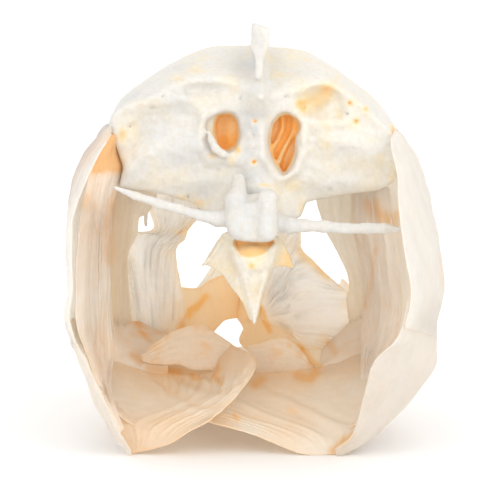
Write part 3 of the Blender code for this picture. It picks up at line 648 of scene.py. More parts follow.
# ---- braincase ---------------------------------------------------------------
EDGE = [(108.5, 127), (112.5, 112), (120.6, 96), (141.6, 80.5), (168.4, 63.6), (185, 55.6), (203, 48), (219, 45.2),
        (251, 45.4), (269, 47), (291, 47.8), (310, 52.6), (327, 62.4), (342, 72.4), (357, 84), (374, 97.4), (387, 112),
        (396, 127), (399, 146), (399, 175), (394, 195), (384, 198.5), (369, 200.5), (345, 201.5), (316, 201),
        (305, 202), (301.5, 215), (292, 221), (279, 226), (262, 232), (240, 232), (226, 222), (212, 216), (198, 209.5), (179, 202.5), (158, 195.5),
        (142, 192), (128, 190), (119, 187.5), (120.5, 178), (122.5, 167), (117, 150), (112, 137)]
LEFT_HOLE = [(218, 113), (206.5, 121), (205, 130), (209, 138), (213.5, 146), (220, 152), (229, 151.5), (237, 147),
             (240, 136), (238.5, 121), (232, 112.5)]
LEFT_DEEP = [(217, 115), (213.5, 130), (217, 145), (221, 151), (232, 149), (238.5, 140), (238, 122), (231, 114)]
RIGHT_HOLE = [(284, 112), (273, 120), (268.5, 133), (267.5, 143), (270, 156), (276, 168), (284, 176), (292, 167),
              (297, 154), (297.5, 138), (301.5, 127), (296, 116)]


def braincase():
    h = 0.56
    X, Y, Z = grid3((-41, -53, 44), (41, 61, 112.5), h)
    PX, PY = drawing(X, Y, Z)
    scale = (Y - EYE[1]) / VIEW_D * UNIT

    # shape of the face, as depth over the rear elevation
    T = Table(95, 15, 415, 250, 0.5)
    tx, ty = T.X, T.Y
    ledge = curve1((100, 120, 150, 180, 222, 246, 262, 285, 300, 320, 345, 365, 392),
                   (126, 110, 99, 84, 82, 90, 98, 92, 90, 84, 94, 110, 134))(tx)
    crown = curve1((100, 120, 142, 168, 185, 203, 219, 269, 291, 310, 327, 342, 357, 374, 387, 399),
                   (140, 97, 80.5, 63.6, 55.6, 48, 45, 46, 47.8, 52.6, 62.4, 72.4, 84, 97.4, 112, 130))(tx)
    up = np.clip((ledge - ty) / np.maximum(ledge - crown, 4), 0, 1.4)
    soft = np.logaddexp(0, (up - 0.12) * 7) / 7
    y = -42.6 + 25 * soft ** 1.15
    below = smooth(-3, 9, ty - ledge)
    y = y + 1.5 * below * (np.exp(-((tx - 201) / 24) ** 2) + 0.8 * np.exp(-((tx - 312) / 26) ** 2)) + 0.5 * below
    ridge = smooth(36, 44, ty) * smooth(118, 92, ty)
    y = y - 4.5 * ridge * np.where(tx < 262, np.exp(-((tx - 262) / 15) ** 2), np.exp(-((tx - 262) / 4.2) ** 2))      # crest root
    y = y - 2.6 * line2(tx, ty, [(262, 96), (256, 125), (254, 160), (254, 190)], 11, 15)
    y = y - 1.6 * bump2(tx, ty, 254, 104, 26, 13)
    y = y + 2.0 * bump2(tx, ty, 204, 88, 24, 8, 0.05)              # hollow under the left roof edge
    y = y + 4.2 * bump2(tx, ty, 313, 103, 15, 11, -0.55)           # hollow on the right
    y = y + 3.0 * bump2(tx, ty, 330, 95, 15, 12, 0.4)
    y = y + 1.6 * bump2(tx, ty, 338, 113, 6, 8)
    y = y - 1.6 * line2(tx, ty, [(300, 118), (318, 124), (342, 122)], 7, 6)          # lip below it
    y = y - 1.5 * line2(tx, ty, [(150, 104), (175, 96), (196, 100), (205, 112)], 9, 8)
    y = y - 1.8 * line2(tx, ty, [(330, 140), (362, 146), (394, 160)], 12, 14)        # swelling toward the wing
    y = y - 1.8 * line2(tx, ty, [(190, 150), (160, 150), (128, 168)], 14, 16)
    y = y - 1.4 * (line2(tx, ty, [(203, 120), (200, 140), (210, 160), (232, 160)], 6, 6)
                   + line2(tx, ty, [(262, 130), (264, 158), (278, 180), (296, 172), (304, 150), (303, 130)], 5, 5))
    y = y + 2.4 * smooth(178, 204, ty) * smooth(246, 205, tx)      # underside curls forward
    y = y + 2.4 * smooth(180, 204, ty) * smooth(266, 300, tx)
    y = y + 1.7 * bump2(tx, ty, 136, 132, 15, 9, -0.7)
    y = y + 0.9 * bump2(tx, ty, 160, 122, 16, 10, 0.3) + 0.8 * bump2(tx, ty, 366, 122, 18, 9, 0.5)
    y = y + 0.6 * fbm(tx / 19, ty / 17, tx * 0, 5, 4) + 0.34 * fbm(tx / 6, ty / 5, tx * 0, 8, 3)
    for cx, cy, r in ((350, 103, 2.4), (366, 109, 2.6), (356, 121.5, 2.6), (338, 77.5, 2.2), (347, 114, 1.6),
                      (196, 69, 3.5), (178, 79, 3.2), (186, 92, 2.2), (152, 108, 3.0), (163, 96, 2.4), (130, 126, 2.4),
                      (255, 121, 2.3), (254, 162, 2.5), (254, 136, 1.5), (253, 148, 1.4), (286, 96, 2.0),
                      (240, 98, 1.8), (205, 203, 2.6), (188, 196, 2.4), (219, 170, 1.8), (330, 190, 2.0)):
        y = y + 1.5 * np.exp(-((tx - cx) ** 2 + (ty - cy) ** 2) / (0.7 * r) ** 2)
    gx, gy = np.gradient(y, 0.5 * UNIT)
    T.val = np.sqrt(1 + gx ** 2 + gy ** 2)
    norm = T(PX, PY)
    T.val = y
    face = (T(PX, PY) - Y) / norm

    # outline over the elevation, cut along the sight lines
    T.val = ring2(tx, ty, EDGE) + 0.5 * fbm(tx / 6, ty / 6, tx * 0 + 2, 9, 2)
    rim = T(PX, PY) * scale
    # body behind the face: narrows forward, floor and roof converge
    g = curve1((-44, -30, -18, -8, 3, 10), (1.03, 1.04, 0.985, 0.87, 0.69, 0.5))(Y)
    zt = curve1((-44, -34, -20, -8, 0, 4), (106.5, 106, 103.4, 99.8, 96.8, 95))(Y)
    zb = curve1((-40, -30, -10, 3), (64.5, 64.3, 67, 74))(Y)
    O = Table(-45, 55, 45, 115, 0.5)
    O.val = ring2(O.X, O.Y, [(0, 106.3), (15, 104.3), (25, 98.3), (33, 91.5), (37.6, 84), (37.4, 75), (33, 68.2), (21, 65.6),
                             (8, 62), (0, 60), (-8, 62), (-21, 65.6), (-33, 68.2), (-37.4, 75), (-37.6, 84), (-33, 91.5),
                             (-25, 98.3), (-15, 104.3)])
    body = O((X - bend(Y) - 0.4) / g, 64 + (Z - zb) * 41.5 / (zt - zb)) * 0.9
    body = smax(body, Y - 3.5, 3.0)
    F = smax(smax(body, rim, 1.2), face, 1.2)

    # roof over the eye sockets
    xs = np.abs(X - bend(Y))
    w = curve1((-11, 2, 9, 20, 32, 42, 52), (20.5, 24.0, 22.5, 19.8, 21.2, 14.8, 8))(Y)
    w = w + 0.5 * noise3(Y / 3.5, np.sign(X), 0 * Y, 4)
    zr = TOP(Y) - 1.1 + 0.7 * smooth(0, 9, Y) - 0.014 * xs * xs * (1 + 0.6 * (Y + 11) / 61)
    zr = zr + 0.35 * np.exp(-(xs / 1.6) ** 2) * 0 - 0.5 * np.exp(-(xs / 1.0) ** 2) * smooth(-2, 8, Y)
    zr = zr + 0.35 * np.exp(-((xs - 0.72 * w) / 1.2) ** 2) + 0.22 * fbm(X / 5, Y / 5, 0 * Z, 12, 3)
    thick = 1.5 + 0.5 * smooth(10, 0, xs)
    roof = smax(smax(np.abs(Z - zr + thick / 2) - thick / 2, xs - w, 1.5), np.maximum(-14 - Y, Y - 50), 2.0)
    F = smin(F, roof, 1.6)
    # wall between the sockets, with a window, and the keel bone below
    zk = curve1((-38, -14, 14, 34, 48), (62.5, 61, 56, 50, 46))(Y)
    wall = np.abs(X - bend(Y) - 0.05) - (0.55 + 0.8 * smooth(6, 0, np.minimum(zr - Z, Z - zk)))
    wall = smax(smax(wall, np.maximum(zk - Z, Z - zr), 1.0), np.maximum(-4 - Y, Y - 43), 1.0)
    gap = ellipsoid(X, Y, Z, (bend(17.0), 17, 71), (6, 9.0, 5.5))
    wall = smax(wall, -gap, 0.8)
    F = smin(F, wall, 1.2)
    hw = curve1((-40, -20, 0, 20, 48), (8.5, 5.5, 3.2, 2.3, 2.0))(Y)
    hh = curve1((-40, -20, 0, 20, 48), (4.6, 4.0, 3.0, 2.2, 2.0))(Y)
    keel = (np.sqrt(((X - bend(Y)) / hw) ** 2 + ((Z - zk) / hh) ** 2) - 1) * np.minimum(hw, hh)
    keel = smax(keel, np.maximum(-38 - Y, Y - 49), 1.0)
    F = smin(F, keel, 1.6)
    # block of the nose with its side wings
    cz = curve1((34, 46, 58), (65.5, 57, 49))(Y)
    rw = curve1((34, 40, 50, 59), (10.5, 10, 7.4, 4.5))(Y)
    rh = curve1((34, 40, 50, 59), (8.5, 8.6, 6.6, 4.5))(Y)
    nose = (np.sqrt(((X - bend(Y)) / rw) ** 2 + ((Z - cz) / rh) ** 2) - 1) * np.minimum(rw, rh)
    nose = smax(nose, np.maximum(34 - Y, Y - 58.5), 2.5)
    for s in (-1, 1):
        nose = smax(nose, -ellipsoid(X, Y, Z, (bend(47.0) + s * 8.2, 47, 60), (4.2, 6.0, 4.6)), 1.2)
        wing = chain(X, Y, Z, [(bend(34.0) + s * 4, 35, 67), (bend(33.0) + s * 12, 33, 67.5), (bend(33.0) + s * 19.5, 30.5, 66)],
                     (4.2, 2.6, 1.6), 1.0)
        nose = smin(nose, wing, 1.5)
    F = smin(F, nose, 1.6)
    # bosses that hold the orbital ring, and the wings above the cheek
    for s in (-1, 1):
        F = smin(F, chain(X, Y, Z, [(s * 21 + bend(1.0), 1, 90), (s * 24.3 + bend(3.0), 3, 85), (s * 23 + bend(5.0), 6, 80)],
                          (2.6, 2.2, 1.0), 1.0), 1.6)
    # crest: broad flat lip above the roof, narrow rib down the face
    PXb, PYb = PX, PY
    low = smooth(46, 62, PYb)
    rgt = 270.3 - 0.07 * (PYb - 28) - 4.5 * low
    lft = 251.9 - 0.05 * (PYb - 22) + 5.5 * low
    thin = 2.0 * smooth(-20, -36, Y) - 2.0
    crest = np.maximum((PXb - rgt - thin) * scale, (lft - thin - PXb) * scale)
    top = 22.0 + 0.35 * (PXb - 252)
    crest = smax(crest, Z - curve1((-46, -40, -32, -24, -16, -8), (113.5, 111.4, 108.4, 105.4, 103.2, 100))(Y), 0.6)
    crest = smax(crest, (top - PYb) * scale, 0.45)
    crest = smax(crest, np.maximum(-45.5 - Y, Y + 15), 0.9)
    crest = smax(crest, 96 - Z, 1.0)
    F = smin(F, crest, 1.3)
    # seat of the first vertebra
    seat = smax(capsule(X, Y, Z, (0.5, -36, 66), (0.8, -42.5, 64.3), 7.6, 6.0, 1.1, 1.0, 0.95), -45.0 - Y, 0.6)
    keelroot = smax(ellipsoid(X, Y, Z, (0.9, -37.5, 61.5), (14.5, 7.0, 6.5)), rim, 0.8)
    F = smin(smin(F, seat, 2.0), keelroot, 2.0)

    # openings beside the midline, stepped inward in layers
    T.val = ring2(tx, ty, LEFT_HOLE)
    l1 = T(PX, PY) * scale
    T.val = ring2(tx, ty, LEFT_DEEP)
    l2 = T(PX, PY) * scale
    T.val = ring2(tx, ty, RIGHT_HOLE)
    rr = T(PX, PY) * scale
    F = smax(F, -smax(l1 + 0.10 * (Y + 42), Y + 38.5, 1.0), 1.0)
    F = smax(F, -smax(l2 + 0.06 * (Y + 42) + 0.25 * np.sin(Y * 2.2), Y + 35 + 0.6 * np.sin(PX / 4.0), 1.0), 0.8)
    lay = 1.6 * (PX - 268) / 30 + 0.8 * np.sin(PY / 9.0)
    steps = 0.55 * np.sin((Y + 1.5 * lay) * 1.5) * smooth(-41, -37, Y)
    F = smax(F, -smax(rr + 0.09 * (Y + 42) + steps, Y + 35.5 + 1.0 * np.sin((PX - 268 - 9 * np.exp(-((PY - 128) / 20) ** 2) + 0.20 * (PY - 140)) / 1.9), 0.8), 0.8)
    # spur that crosses the lower left of the left opening
    F = smin(F, chain(X, Y, Z, [rear(208.5, 131, -41), rear(211.5, 140, -42.3), rear(216, 149, -42.8), rear(223, 154, -42.8), rear(230, 155, -42)],
                      (0.5, 0.95, 1.05, 1.0, 0.6), 0.5), 0.9)
    F = smax(F, -chain(X, Y, Z, [rear(238, 150, -43), rear(233, 160, -43.5), rear(226, 168, -43)], (0.9, 1.2, 0.7), 0.5), 0.6)
    # sockets under the wings, then a fine roughness over the whole surface
    for s in (-1, 1):
        F = smax(F, -capsule(X, Y, Z, (s * 22, -26, 62.8), (s * 21, -2, 66), 5.6, 5.0, 1.2, 1, 1), 1.2)
    F = F + 0.10 * fbm(X / 2.2, Y / 2.2, Z / 2.2, 21, 2)
    V, Q = nets(F, (-41, -53, 44), h)
    V = relax(V, Q, 2)
    # surface values
    x, yv, z = V.T
    px, py = drawing(x, yv, z)
    nb = fbm(x / 6, yv / 6, z / 6, 31, 3)
    # painted shade deep inside the openings beside the midline, banded along the stepped layers
    hole_shade = smooth(-40.5, -35, yv) * ((px > 200) & (px < 306) & (py > 106) & (py < 180) & (yv < -15))
    layer = np.sin((px - 268) / 30 * 7 + 2.2 * np.sin(py / 11.0) + yv * 2.4 + 1.5 * nb)
    A = hole_shade * (0.86 + 0.16 * layer)
    # painted shade in the hollow on the right
    A = A + 0.55 * np.exp(-(((px - 300) / 5) ** 2 + ((py - 103) / 4) ** 2)) + 0.0
    # amber spots: yellow stain patches, and painted shade in the pits, hollows and under the overhang of the rear face
    stain_and_pit_shade_spots = ((196, 69, 9, 5, 0.22), (178, 79, 8, 5, 0.25), (156, 104, 16, 7, 0.18), (150, 118, 20, 8, 0.12), (133, 130, 8, 8, 0.18),
             (122, 134, 4, 7, 0.40), (327, 89, 9, 8, 0.40), (314, 101, 15, 10, 0.30), (339, 114, 5, 7, 0.25), (350, 103, 3, 3, 0.45),
             (366, 109, 3, 3, 0.45), (356, 121.5, 3, 3, 0.5), (338, 77, 3, 4, 0.3), (324, 142, 8, 6, 0.10),
             (380, 158, 6, 6, 0.16), (392, 175, 4, 16, 0.18), (268, 54, 5, 7, 0.22), (278, 74, 7, 5, 0.12),
             (200, 203, 9, 5, 0.35), (182, 198, 10, 5, 0.25), (255, 121, 2.5, 2.5, 0.7), (254, 162, 2.8, 2.8, 0.85),
             (238, 150, 3.5, 5, 0.6), (232, 160, 4, 6, 0.35), (212, 156, 7, 3, 0.35), (264, 185, 8, 2.2, 0.45),
             (272, 196, 6, 9, 0.15), (395, 130, 4, 8, 0.7), (301, 207, 4, 8, 0.3), (165, 182, 26, 10, 0.12),
             (290, 186, 14, 9, 0.14), (338, 196, 30, 5, 0.12))
    rearface = smooth(-20, -34, yv)
    for cx, cy, rx, ry, a in stain_and_pit_shade_spots:
        A = A + a * 1.25 * rearface * np.exp(-(((px - cx) / rx) ** 2 + ((py - cy) / ry) ** 2))
    # more amber toward the front and on the low front parts, plus a noise mottle
    A = A + 0.10 * smooth(-20, 20, yv) + 0.13 * smooth(0.05, 0.7, nb) + 0.25 * smooth(60, 52, z) * smooth(-30, 0, yv)
    W = 0.55 * smooth(0.2, -0.5, nb) * rearface + 0.6 * np.exp(-((px - 255) / 16) ** 2) * rearface
    W = (W + 0.35 * rearface * np.exp(-(((px - 212) / 24) ** 2 + ((py - 188) / 20) ** 2))) * (1 - hole_shade)
    W = (W + 0.35 * smooth(240, 180, px) * rearface) * (1 - 0.6 * smooth(262, 310, px))
    W = np.clip(W, 0, 1) * (1 - np.clip(1.4 * A, 0, 1))
    make("braincase", "neurocranium", "skull_bone", V, Q, A, W)


# ---- first vertebrae and the process below them --------------------------------
def vertebrae():
    h = 0.3
    lo = (-37, -63.5, 49)
    X, Y, Z = grid3(lo, (40, -42.5, 74.5), h)
    PX, PY = drawing(X, Y, Z)
    c = (0.7, -49.0, 61.5)
    a = np.arctan2(Z - c[2], X - c[0])
    r = ((np.abs(X - c[0]) / 5.7) ** 2.4 + (np.abs(Z - c[2]) / 5.0) ** 2.4) ** (1 / 2.4)
    F = smax((r - 1 + 0.03 * np.cos(3 * a + 0.6)) * 5.0, np.maximum(Y + 45.4, -55.2 - Y), 2.2)
    F = smax(F, -ellipsoid(X, Y, Z, (c[0] - 1.6, -56.4, c[2] - 1.4), (3.0, 1.6, 2.6)), 1.4)
    F = smin(F, capsule(X, Y, Z, rear(238.5, 180, -45.5), rear(238, 199, -50.8), 1.7, 2.3), 1.6)        # left knob
    F = smin(F, capsule(X, Y, Z, rear(233, 202, -50.5), rear(240, 226, -52.5), 2.2, 3.0), 2.0)
    F = smin(F, capsule(X, Y, Z, rear(267.5, 199, -54.6), rear(266.5, 230, -54.4), 2.5, 2.9), 1.2)           # right oval
    F = smin(F, capsule(X, Y, Z, rear(258, 205, -49), rear(262, 226, -51), 3.0, 3.4), 2.0)
    F = smax(F, -chain(X, Y, Z, [rear(253.5, 186, -57.4), rear(255.5, 206, -57.3), rear(254, 222, -57.6)], (0.9, 0.8, 0.4), 0.5), 1.4)
    F = smax(F, -chain(X, Y, Z, [rear(232, 205, -56), rear(240, 206.5, -57), rear(247, 204, -56.5)], (0.5, 0.9, 0.5), 0.5), 0.8)
    L = [rear(240, 218, -49), rear(218, 219, -50.5), rear(200, 215.5, -52), rear(179, 209, -53), rear(158, 203.5, -54), rear(136, 196, -54.8), rear(116, 188, -55.4)]
    Rr = [rear(272, 222, -50), rear(290, 225.5, -51), rear(304, 225.5, -52), rear(324, 226.5, -53), rear(345, 228.5, -54), rear(368, 228.5, -54.6), rear(384, 228.6, -55), rear(399, 230, -55.4)]
    F = smin(F, chain(X, Y, Z, L, (2.6, 1.9, 1.25, 1.1, 1.15, 0.95, 0.55), 0.8), 1.4)
    F = smin(F, chain(X, Y, Z, Rr, (2.6, 1.9, 1.5, 1.4, 1.25, 1.35, 1.25, 0.55), 0.8), 1.4)
    F = F + 0.14 * fbm(X / 2.0, Y / 2.0, Z / 2.0, 44, 2)
    V, Q = nets(F, lo, h)
    V = relax(V, Q, 2)
    x, y, z = V.T
    px, py = drawing(x, y, z)
    n = fbm(x / 3, y / 3, z / 3, 45, 3)
    # painted shade under the left knob and in the groove between the knobs, with a noise mottle; the groove also loses
    # chalk
    A = 0.10 * smooth(0, 0.6, n) + 0.3 * np.exp(-(((px - 239) / 6) ** 2 + ((py - 208) / 3.5) ** 2))
    A = A + 0.2 * np.exp(-((px - 255) / 3) ** 2) * smooth(186, 200, py) * 0.6
    W = 0.75 + 0.25 * smooth(0.3, -0.5, n) - 0.3 * np.exp(-((px - 255) / 4) ** 2)
    make("first_vertebrae_bone", "first_vertebrae", "skull_bone", V, Q, A, W)


def pharyngeal_process():
    h = 0.28
    lo = (-15, -68, 29)
    X, Y, Z = grid3(lo, (15, -33.5, 60), h)
    PX, PY = drawing(X, Y, Z)
    scale = (Y - EYE[1]) / VIEW_D * UNIT
    T = Table(190, 225, 305, 335, 0.5)
    tx, ty = T.X, T.Y
    # outline of crown and spike in the rear elevation
    ring = [(196.5, 268), (203, 262), (211, 250), (219, 238), (228, 232), (252, 236), (277, 236), (286, 247), (293.5, 267),
            (284, 266), (274, 268), (269, 277), (263.5, 291), (260, 304), (257.5, 323), (254, 327), (250.5, 323), (246.5, 312),
            (241, 300), (231, 287), (223.5, 276), (213, 268), (205, 265.5)]
    T.val = ring2(tx, ty, ring)
    rim = T(PX, PY) * scale
    # depth of its rear surface: two sharp keels meet at the tip, with a recess between them above
    y = -50.5 - 10.5 * smooth(262, 322, ty) + 0.9 * np.abs(tx - 253) / 10
    y = y - 2.0 * line2(tx, ty, [(232, 247), (241, 264), (248, 292), (254, 322)], 5.0, 4.2)
    y = y - 2.0 * line2(tx, ty, [(276, 247), (268, 264), (261, 292), (255, 322)], 5.0, 4.2)
    y = y + 0.75 * np.clip(236 - tx, 0, 40) * 0.13 + 0.75 * np.clip(tx - 272, 0, 40) * 0.13
    y = y + 2.4 * smooth(2.0, -3.0, ring2(tx, ty, [(234, 241), (254, 240), (273.5, 240.5), (265, 253), (251, 257.5), (239, 254)]))
    y = y + 2.0 * np.exp(-((tx - 251.6) ** 2 + (ty - 266) ** 2) / 5.0)
    y = y - 1.2 * line2(tx, ty, [(222, 240), (212, 255), (202, 266)], 3, 2)
    y = y + 0.35 * fbm(tx / 8, ty / 8, tx * 0, 51, 3)
    gx, gy = np.gradient(y, 0.5 * UNIT)
    T.val = np.sqrt(1 + gx ** 2 + gy ** 2)
    nm = T(PX, PY)
    T.val = y
    yr = T(PX, PY)
    thick = curve1((225, 262, 300, 325), (6.5, 5.5, 4.2, 1.4))(PY)
    wing = smooth(12, 22, np.abs(PX - 253)) * smooth(290, 270, PY)
    thick = thick * (1 - 0.62 * wing)
    F = smax(smax((yr - Y) / nm, (Y - yr - thick) / nm, 0.8), rim, 0.8)
    F = smin(F, capsule(X, Y, Z, (0.9, -40.2, 53.4), (0.9, -50, 51.5), 4.4, 4.2, 1.2, 1, 0.9), 2.0)
    F = smax(F, -39.6 * 0 + (Z - 58.8), 0.6)
    F = F + 0.08 * fbm(X / 1.6, Y / 1.6, Z / 1.6, 52, 2)
    V, Q = nets(F, lo, h)
    V = relax(V, Q, 2)
    x, y, z = V.T
    px, py = drawing(x, y, z)
    # painted shade in the recess between the keels and in the pit at its foot; more amber toward the spike tip, toward
    # the front and on the upper right
    rec = ring2(px, py, [(234, 241), (254, 240), (273.5, 240.5), (265, 253), (251, 257.5), (239, 254)])
    A = 0.48 * smooth(1.5, -2.0, rec) + 0.55 * np.exp(-((px - 251.6) ** 2 + (py - 266) ** 2) / 7.0)
    A = A + 0.13 * smooth(285, 318, py) + 0.12 * smooth(-54, -46, y) * smooth(250, 262, py) + 0.22 * smooth(270, 282, px) * smooth(280, 250, py)
    A = A + 0.10 + 0.12 * fbm(x / 3, y / 3, z / 3, 53, 2)
    W = 0.35 * (line2(px, py, [(232, 247), (241, 264), (248, 292), (254, 322)], 4, 3.4)
                + line2(px, py, [(276, 247), (268, 264), (261, 292), (255, 322)], 4, 3.4)) * smooth(-48, -54, y)
    make("pharyngeal_crown", "pharyngeal_process", "skull_bone", V, Q, A, W)


# ---- edges of the thin bones, as they stand in the rear elevation ---------------
def rear_path(*pts):
    return path3(*[rear(*p) for p in pts])


OPERCLE_WIDE = {
    1: rear_path((396, 128, -38), (404, 140, -41), (418, 165, -44), (429, 205, -46), (437.5, 247, -47), (441, 288, -47), (436, 312, -46), (434, 340, -45)),
    -1: rear_path((111, 124, -38), (104, 132, -40), (84, 158, -42), (72, 190, -43), (69, 225, -44), (68.5, 260, -45), (69.5, 290, -45), (67, 318, -45), (72, 341, -44))}
OPERCLE_REAR = {
    1: rear_path((391, 137, -50), (392, 150, -54), (397, 178, -59), (398.5, 209, -64), (401.5, 237, -70), (407.5, 266, -72), (411, 298, -72), (404, 329, -69)),
    -1: rear_path((111, 134, -49), (105, 145, -53), (92, 168, -58), (79, 200, -62), (71, 222, -67), (70, 258, -70), (71.5, 290, -71), (69, 318, -70), (77.5, 350, -65))}
SUBOPERCLE = {
    1: (rear_path((426, 300, -22), (420, 345, -22), (404, 378, -22), (378, 408, -23), (344, 436, -26)),
        rear_path((434, 300, -44), (434, 330, -44), (432.5, 366, -44), (400, 409, -42), (366, 441, -41), (338, 457, -41)),
        rear_path((408, 300, -67), (396, 338, -66), (372, 363, -62), (363, 397, -57), (353, 432, -50), (334, 449, -45))),
    -1: (rear_path((81, 306, -22), (91, 346, -22), (104, 384, -22), (122, 412, -24), (142, 430, -28)),
         rear_path((69.5, 322, -45), (73, 340, -45), (79.5, 357, -45), (97.5, 405, -44), (117, 438, -43), (132, 454, -42)),
         rear_path((70.5, 328, -66), (76, 344, -65.5), (85.5, 361, -63), (104, 401, -57), (119, 432, -51), (132, 452, -46)))}
PREOPERCLE_FRONT = {
    1: [rear(*p) for p in ((384, 150, -10), (380, 200, -8), (379, 250, -3), (375, 300, 2), (366, 345, 6))],
    -1: [rear(*p) for p in ((126, 138, -10), (125, 180, -8), (119, 230, -3), (119, 290, 2), (127, 340, 6))]}
HYOMANDIBULA = {
    1: (rear_path((313, 194, -3), (322, 225, 0), (334, 247, 3), (345, 270, 5), (349, 286, 6), (345.5, 300, 7), (350, 330, 9), (352, 358, 10)),
        rear_path((347, 184, -10), (349, 225, -8), (357, 252, -5), (365, 282, -1), (367, 312, 3), (366, 345, 6), (364, 372, 8)),
        rear_path((386, 178, -21), (391, 230, -22), (397, 265, -20), (398, 300, -16), (392, 340, -8), (384, 378, -2))),
    -1: (rear_path((160, 165, -8), (158, 198, -5), (150, 213, -2), (140, 217, 0), (138, 232, 2), (130, 248, 4), (128, 275, 7), (133, 335, 12), (144, 364, 14)),
         rear_path((128, 146, -27), (124, 176, -26), (121, 206, -15), (116, 250, -7), (116, 300, -1), (124, 345, 5), (138, 377, 9)),
         rear_path((108, 134, -41), (97, 162, -45), (94, 188, -43), (98, 215, -34), (101, 245, -24), (102, 300, -16), (109, 350, -6), (126, 388, 2)))}
QUADRATE = {
    1: (rear_path((300, 340, 24), (300, 356, 24), (304, 374, 24)), rear_path((357, 334, 11), (356, 358, 11), (346, 382, 13))),
    -1: (rear_path((182, 328, 26), (180, 350, 26), (176, 372, 24)), rear_path((126, 326, 12), (128, 355, 12), (142, 380, 14)))}


# ---- gill covers, cheeks and jaws ----------------------------------------------
def tag(side):
    return "right" if side > 0 else "left"


def cover(side):
    R = side > 0
    t = tag(side)
    H = lambda y, phi, d=0.0: head(side, y, phi, d)
    # painted shade: 0 at the rear opening, rising to 1 toward the front, deep inside the head
    inner_depth_shade = lambda p: smooth(-60, 10, p[:, 1])

    # opercle: fan of low ridges and growth lines from the upper front corner
    near = OPERCLE_REAR[side]
    wide = OPERCLE_WIDE[side]
    first = lambda v: H(-21 + 2 * np.sin(math.pi * v), mix(55, 117 if R else 109, v), 0.0)
    half = lambda v: H(-34 + 0 * v, mix(55, 116 if R else 108, v), 0.0) * 0.5 + (first(v) + wide(v)) * 0.25
    f = strip(first, half, wide, near)

    def relief(U, V, P):
        a = np.arctan2(V - 0.1, U + 0.05)
        r = np.hypot(U, V - 0.1)
        rays = 0.10 * np.sin(a * 46 + 2 * noise3(a * 5, r * 3, 0 * r, 3)) * smooth(0.15, 0.5, r)
        rings = 0.09 * np.sin(r * 60 + 1.5 * noise3(a * 2, r * 2, 0 * r, 7))
        rib = 1.1 * np.exp(-((a - 0.02) / 0.08) ** 2) * smooth(1.0, 0.2, U)     # bar on the inner face
        rib = rib + 0.6 * np.exp(-((a - 0.55) / 0.12) ** 2) * smooth(1.1, 0.2, r)
        return rays * 0.8 + rings, rays + rings + rib

    # the inner face (s = 1) is warmer than the outer and warmer still deeper in: painted shade, with a noise mottle
    def amber(p, s, u, v, d):
        n = fbm(p[:, 0] / 5, p[:, 1] / 12, p[:, 2] / 16, 60 + side, 3)
        a = s * (0.06 + 0.05 * inner_depth_shade(p)) + (1 - s) * 0.02 + 0.12 * smooth(0.1, 0.7, n) * s
        return a

    def pale(p, s, u, v, d):
        n = fbm(p[:, 0] / 8, p[:, 1] / 8, p[:, 2] / 14, 65 + side, 2)
        return (1 - s) * (0.75 + 0.2 * n) + s * 0.15
    plate("opercle_bone_" + t, "opercle_" + t, "cover_bone", f, 150, 170, 0.95, relief, amber, pale,
          rag=(0, 0.015, 0.01, 0.01), seed=70 + side, wave=0.4)

    # subopercle: carries the cover on round the lower edge
    f2 = strip(*SUBOPERCLE[side])

    def relief2(U, V, P):
        g = 0.14 * np.sin(V * 34 + 2.0 * noise3(U * 3, V * 3, 0 * U, 11)) + 0.10 * np.sin(U * 26 + 3 * V)
        return g, g

    # inner face warmer, more so deeper in: painted shade, with a noise mottle
    def amber2(p, s, u, v, d):
        n = fbm(p[:, 0] / 6, p[:, 1] / 6, p[:, 2] / 6, 80 + side, 3)
        return s * (0.12 + 0.08 * inner_depth_shade(p)) + 0.03 + 0.12 * smooth(0.0, 0.7, n)
    plate("subopercle_bone_" + t, "subopercle_" + t, "cover_bone", f2, 120, 110, 0.9, relief2, amber2,
          lambda p, s, u, v, d: (1 - s) * 0.6 + 0.1, rag=(0, 0.02, 0, 0.01), seed=84 + side, wave=0.4)

    # interopercle, reaching forward to the jaw
    def f3(U, V):
        return H(mix(18, -42, U), mix(mix(119, 120, U), mix(145, 152, U), V), 2.3 * LAYER)
    # the amber on the inner face, growing deeper in, is painted shade
    plate("interopercle_bone_" + t, "interopercle_" + t, "cover_bone", f3, 130, 80, 0.9, relief2,
          lambda p, s, u, v, d: 0.06 + 0.10 * s + 0.05 * inner_depth_shade(p), 0.1, rag=(0, 0.02, 0.03, 0.03), seed=90 + side, wave=0.4)

    # preopercle: bent band with the raised edge of its canal
    k = LAYER
    front = path3(*PREOPERCLE_FRONT[side], H(20, 116, 2.2))
    mid = path3(*[H(a, b, c) for a, b, c in ((-18, 60, 1.2 * k), (-18, 82, 1.2 * k), (-15, 104, 1.2 * k), (-4, 120, k), (18, 122, 0.9 * k))])
    back = path3(*[H(a, b, c) for a, b, c in ((-28, 58, k), (-29, 82, k), (-28, 108, k), (-18, 132, k), (20, 128, 0.9 * k))])

    def relief4(U, V, P):
        rib = 1.5 * np.exp(-((U - 0.42) / 0.10) ** 2) + 0.7 * np.exp(-((U - 0.72) / 0.05) ** 2)
        lines = 0.12 * np.sin(U * 60 + 3 * noise3(U * 4, V * 2, 0 * U, 13))
        return 0.6 * rib + lines, rib + lines
    # the warmer inner face is painted shade; a narrow amber streak runs along it at u = 0.55
    plate("preopercle_bone_" + t, "preopercle_" + t, "cover_bone", strip(front, mid, back), 90, 170, 0.95, relief4,
          lambda p, s, u, v, d: 0.05 + 0.07 * s + 0.22 * np.exp(-((u - 0.55) / 0.05) ** 2) * s, 0.1, rag=(0.03, 0.03, 0, 0),
          seed=96 + side, wave=0.3)

    # hyomandibula: hangs from the braincase inside the preopercle
    hf, hm, hb = HYOMANDIBULA[side]

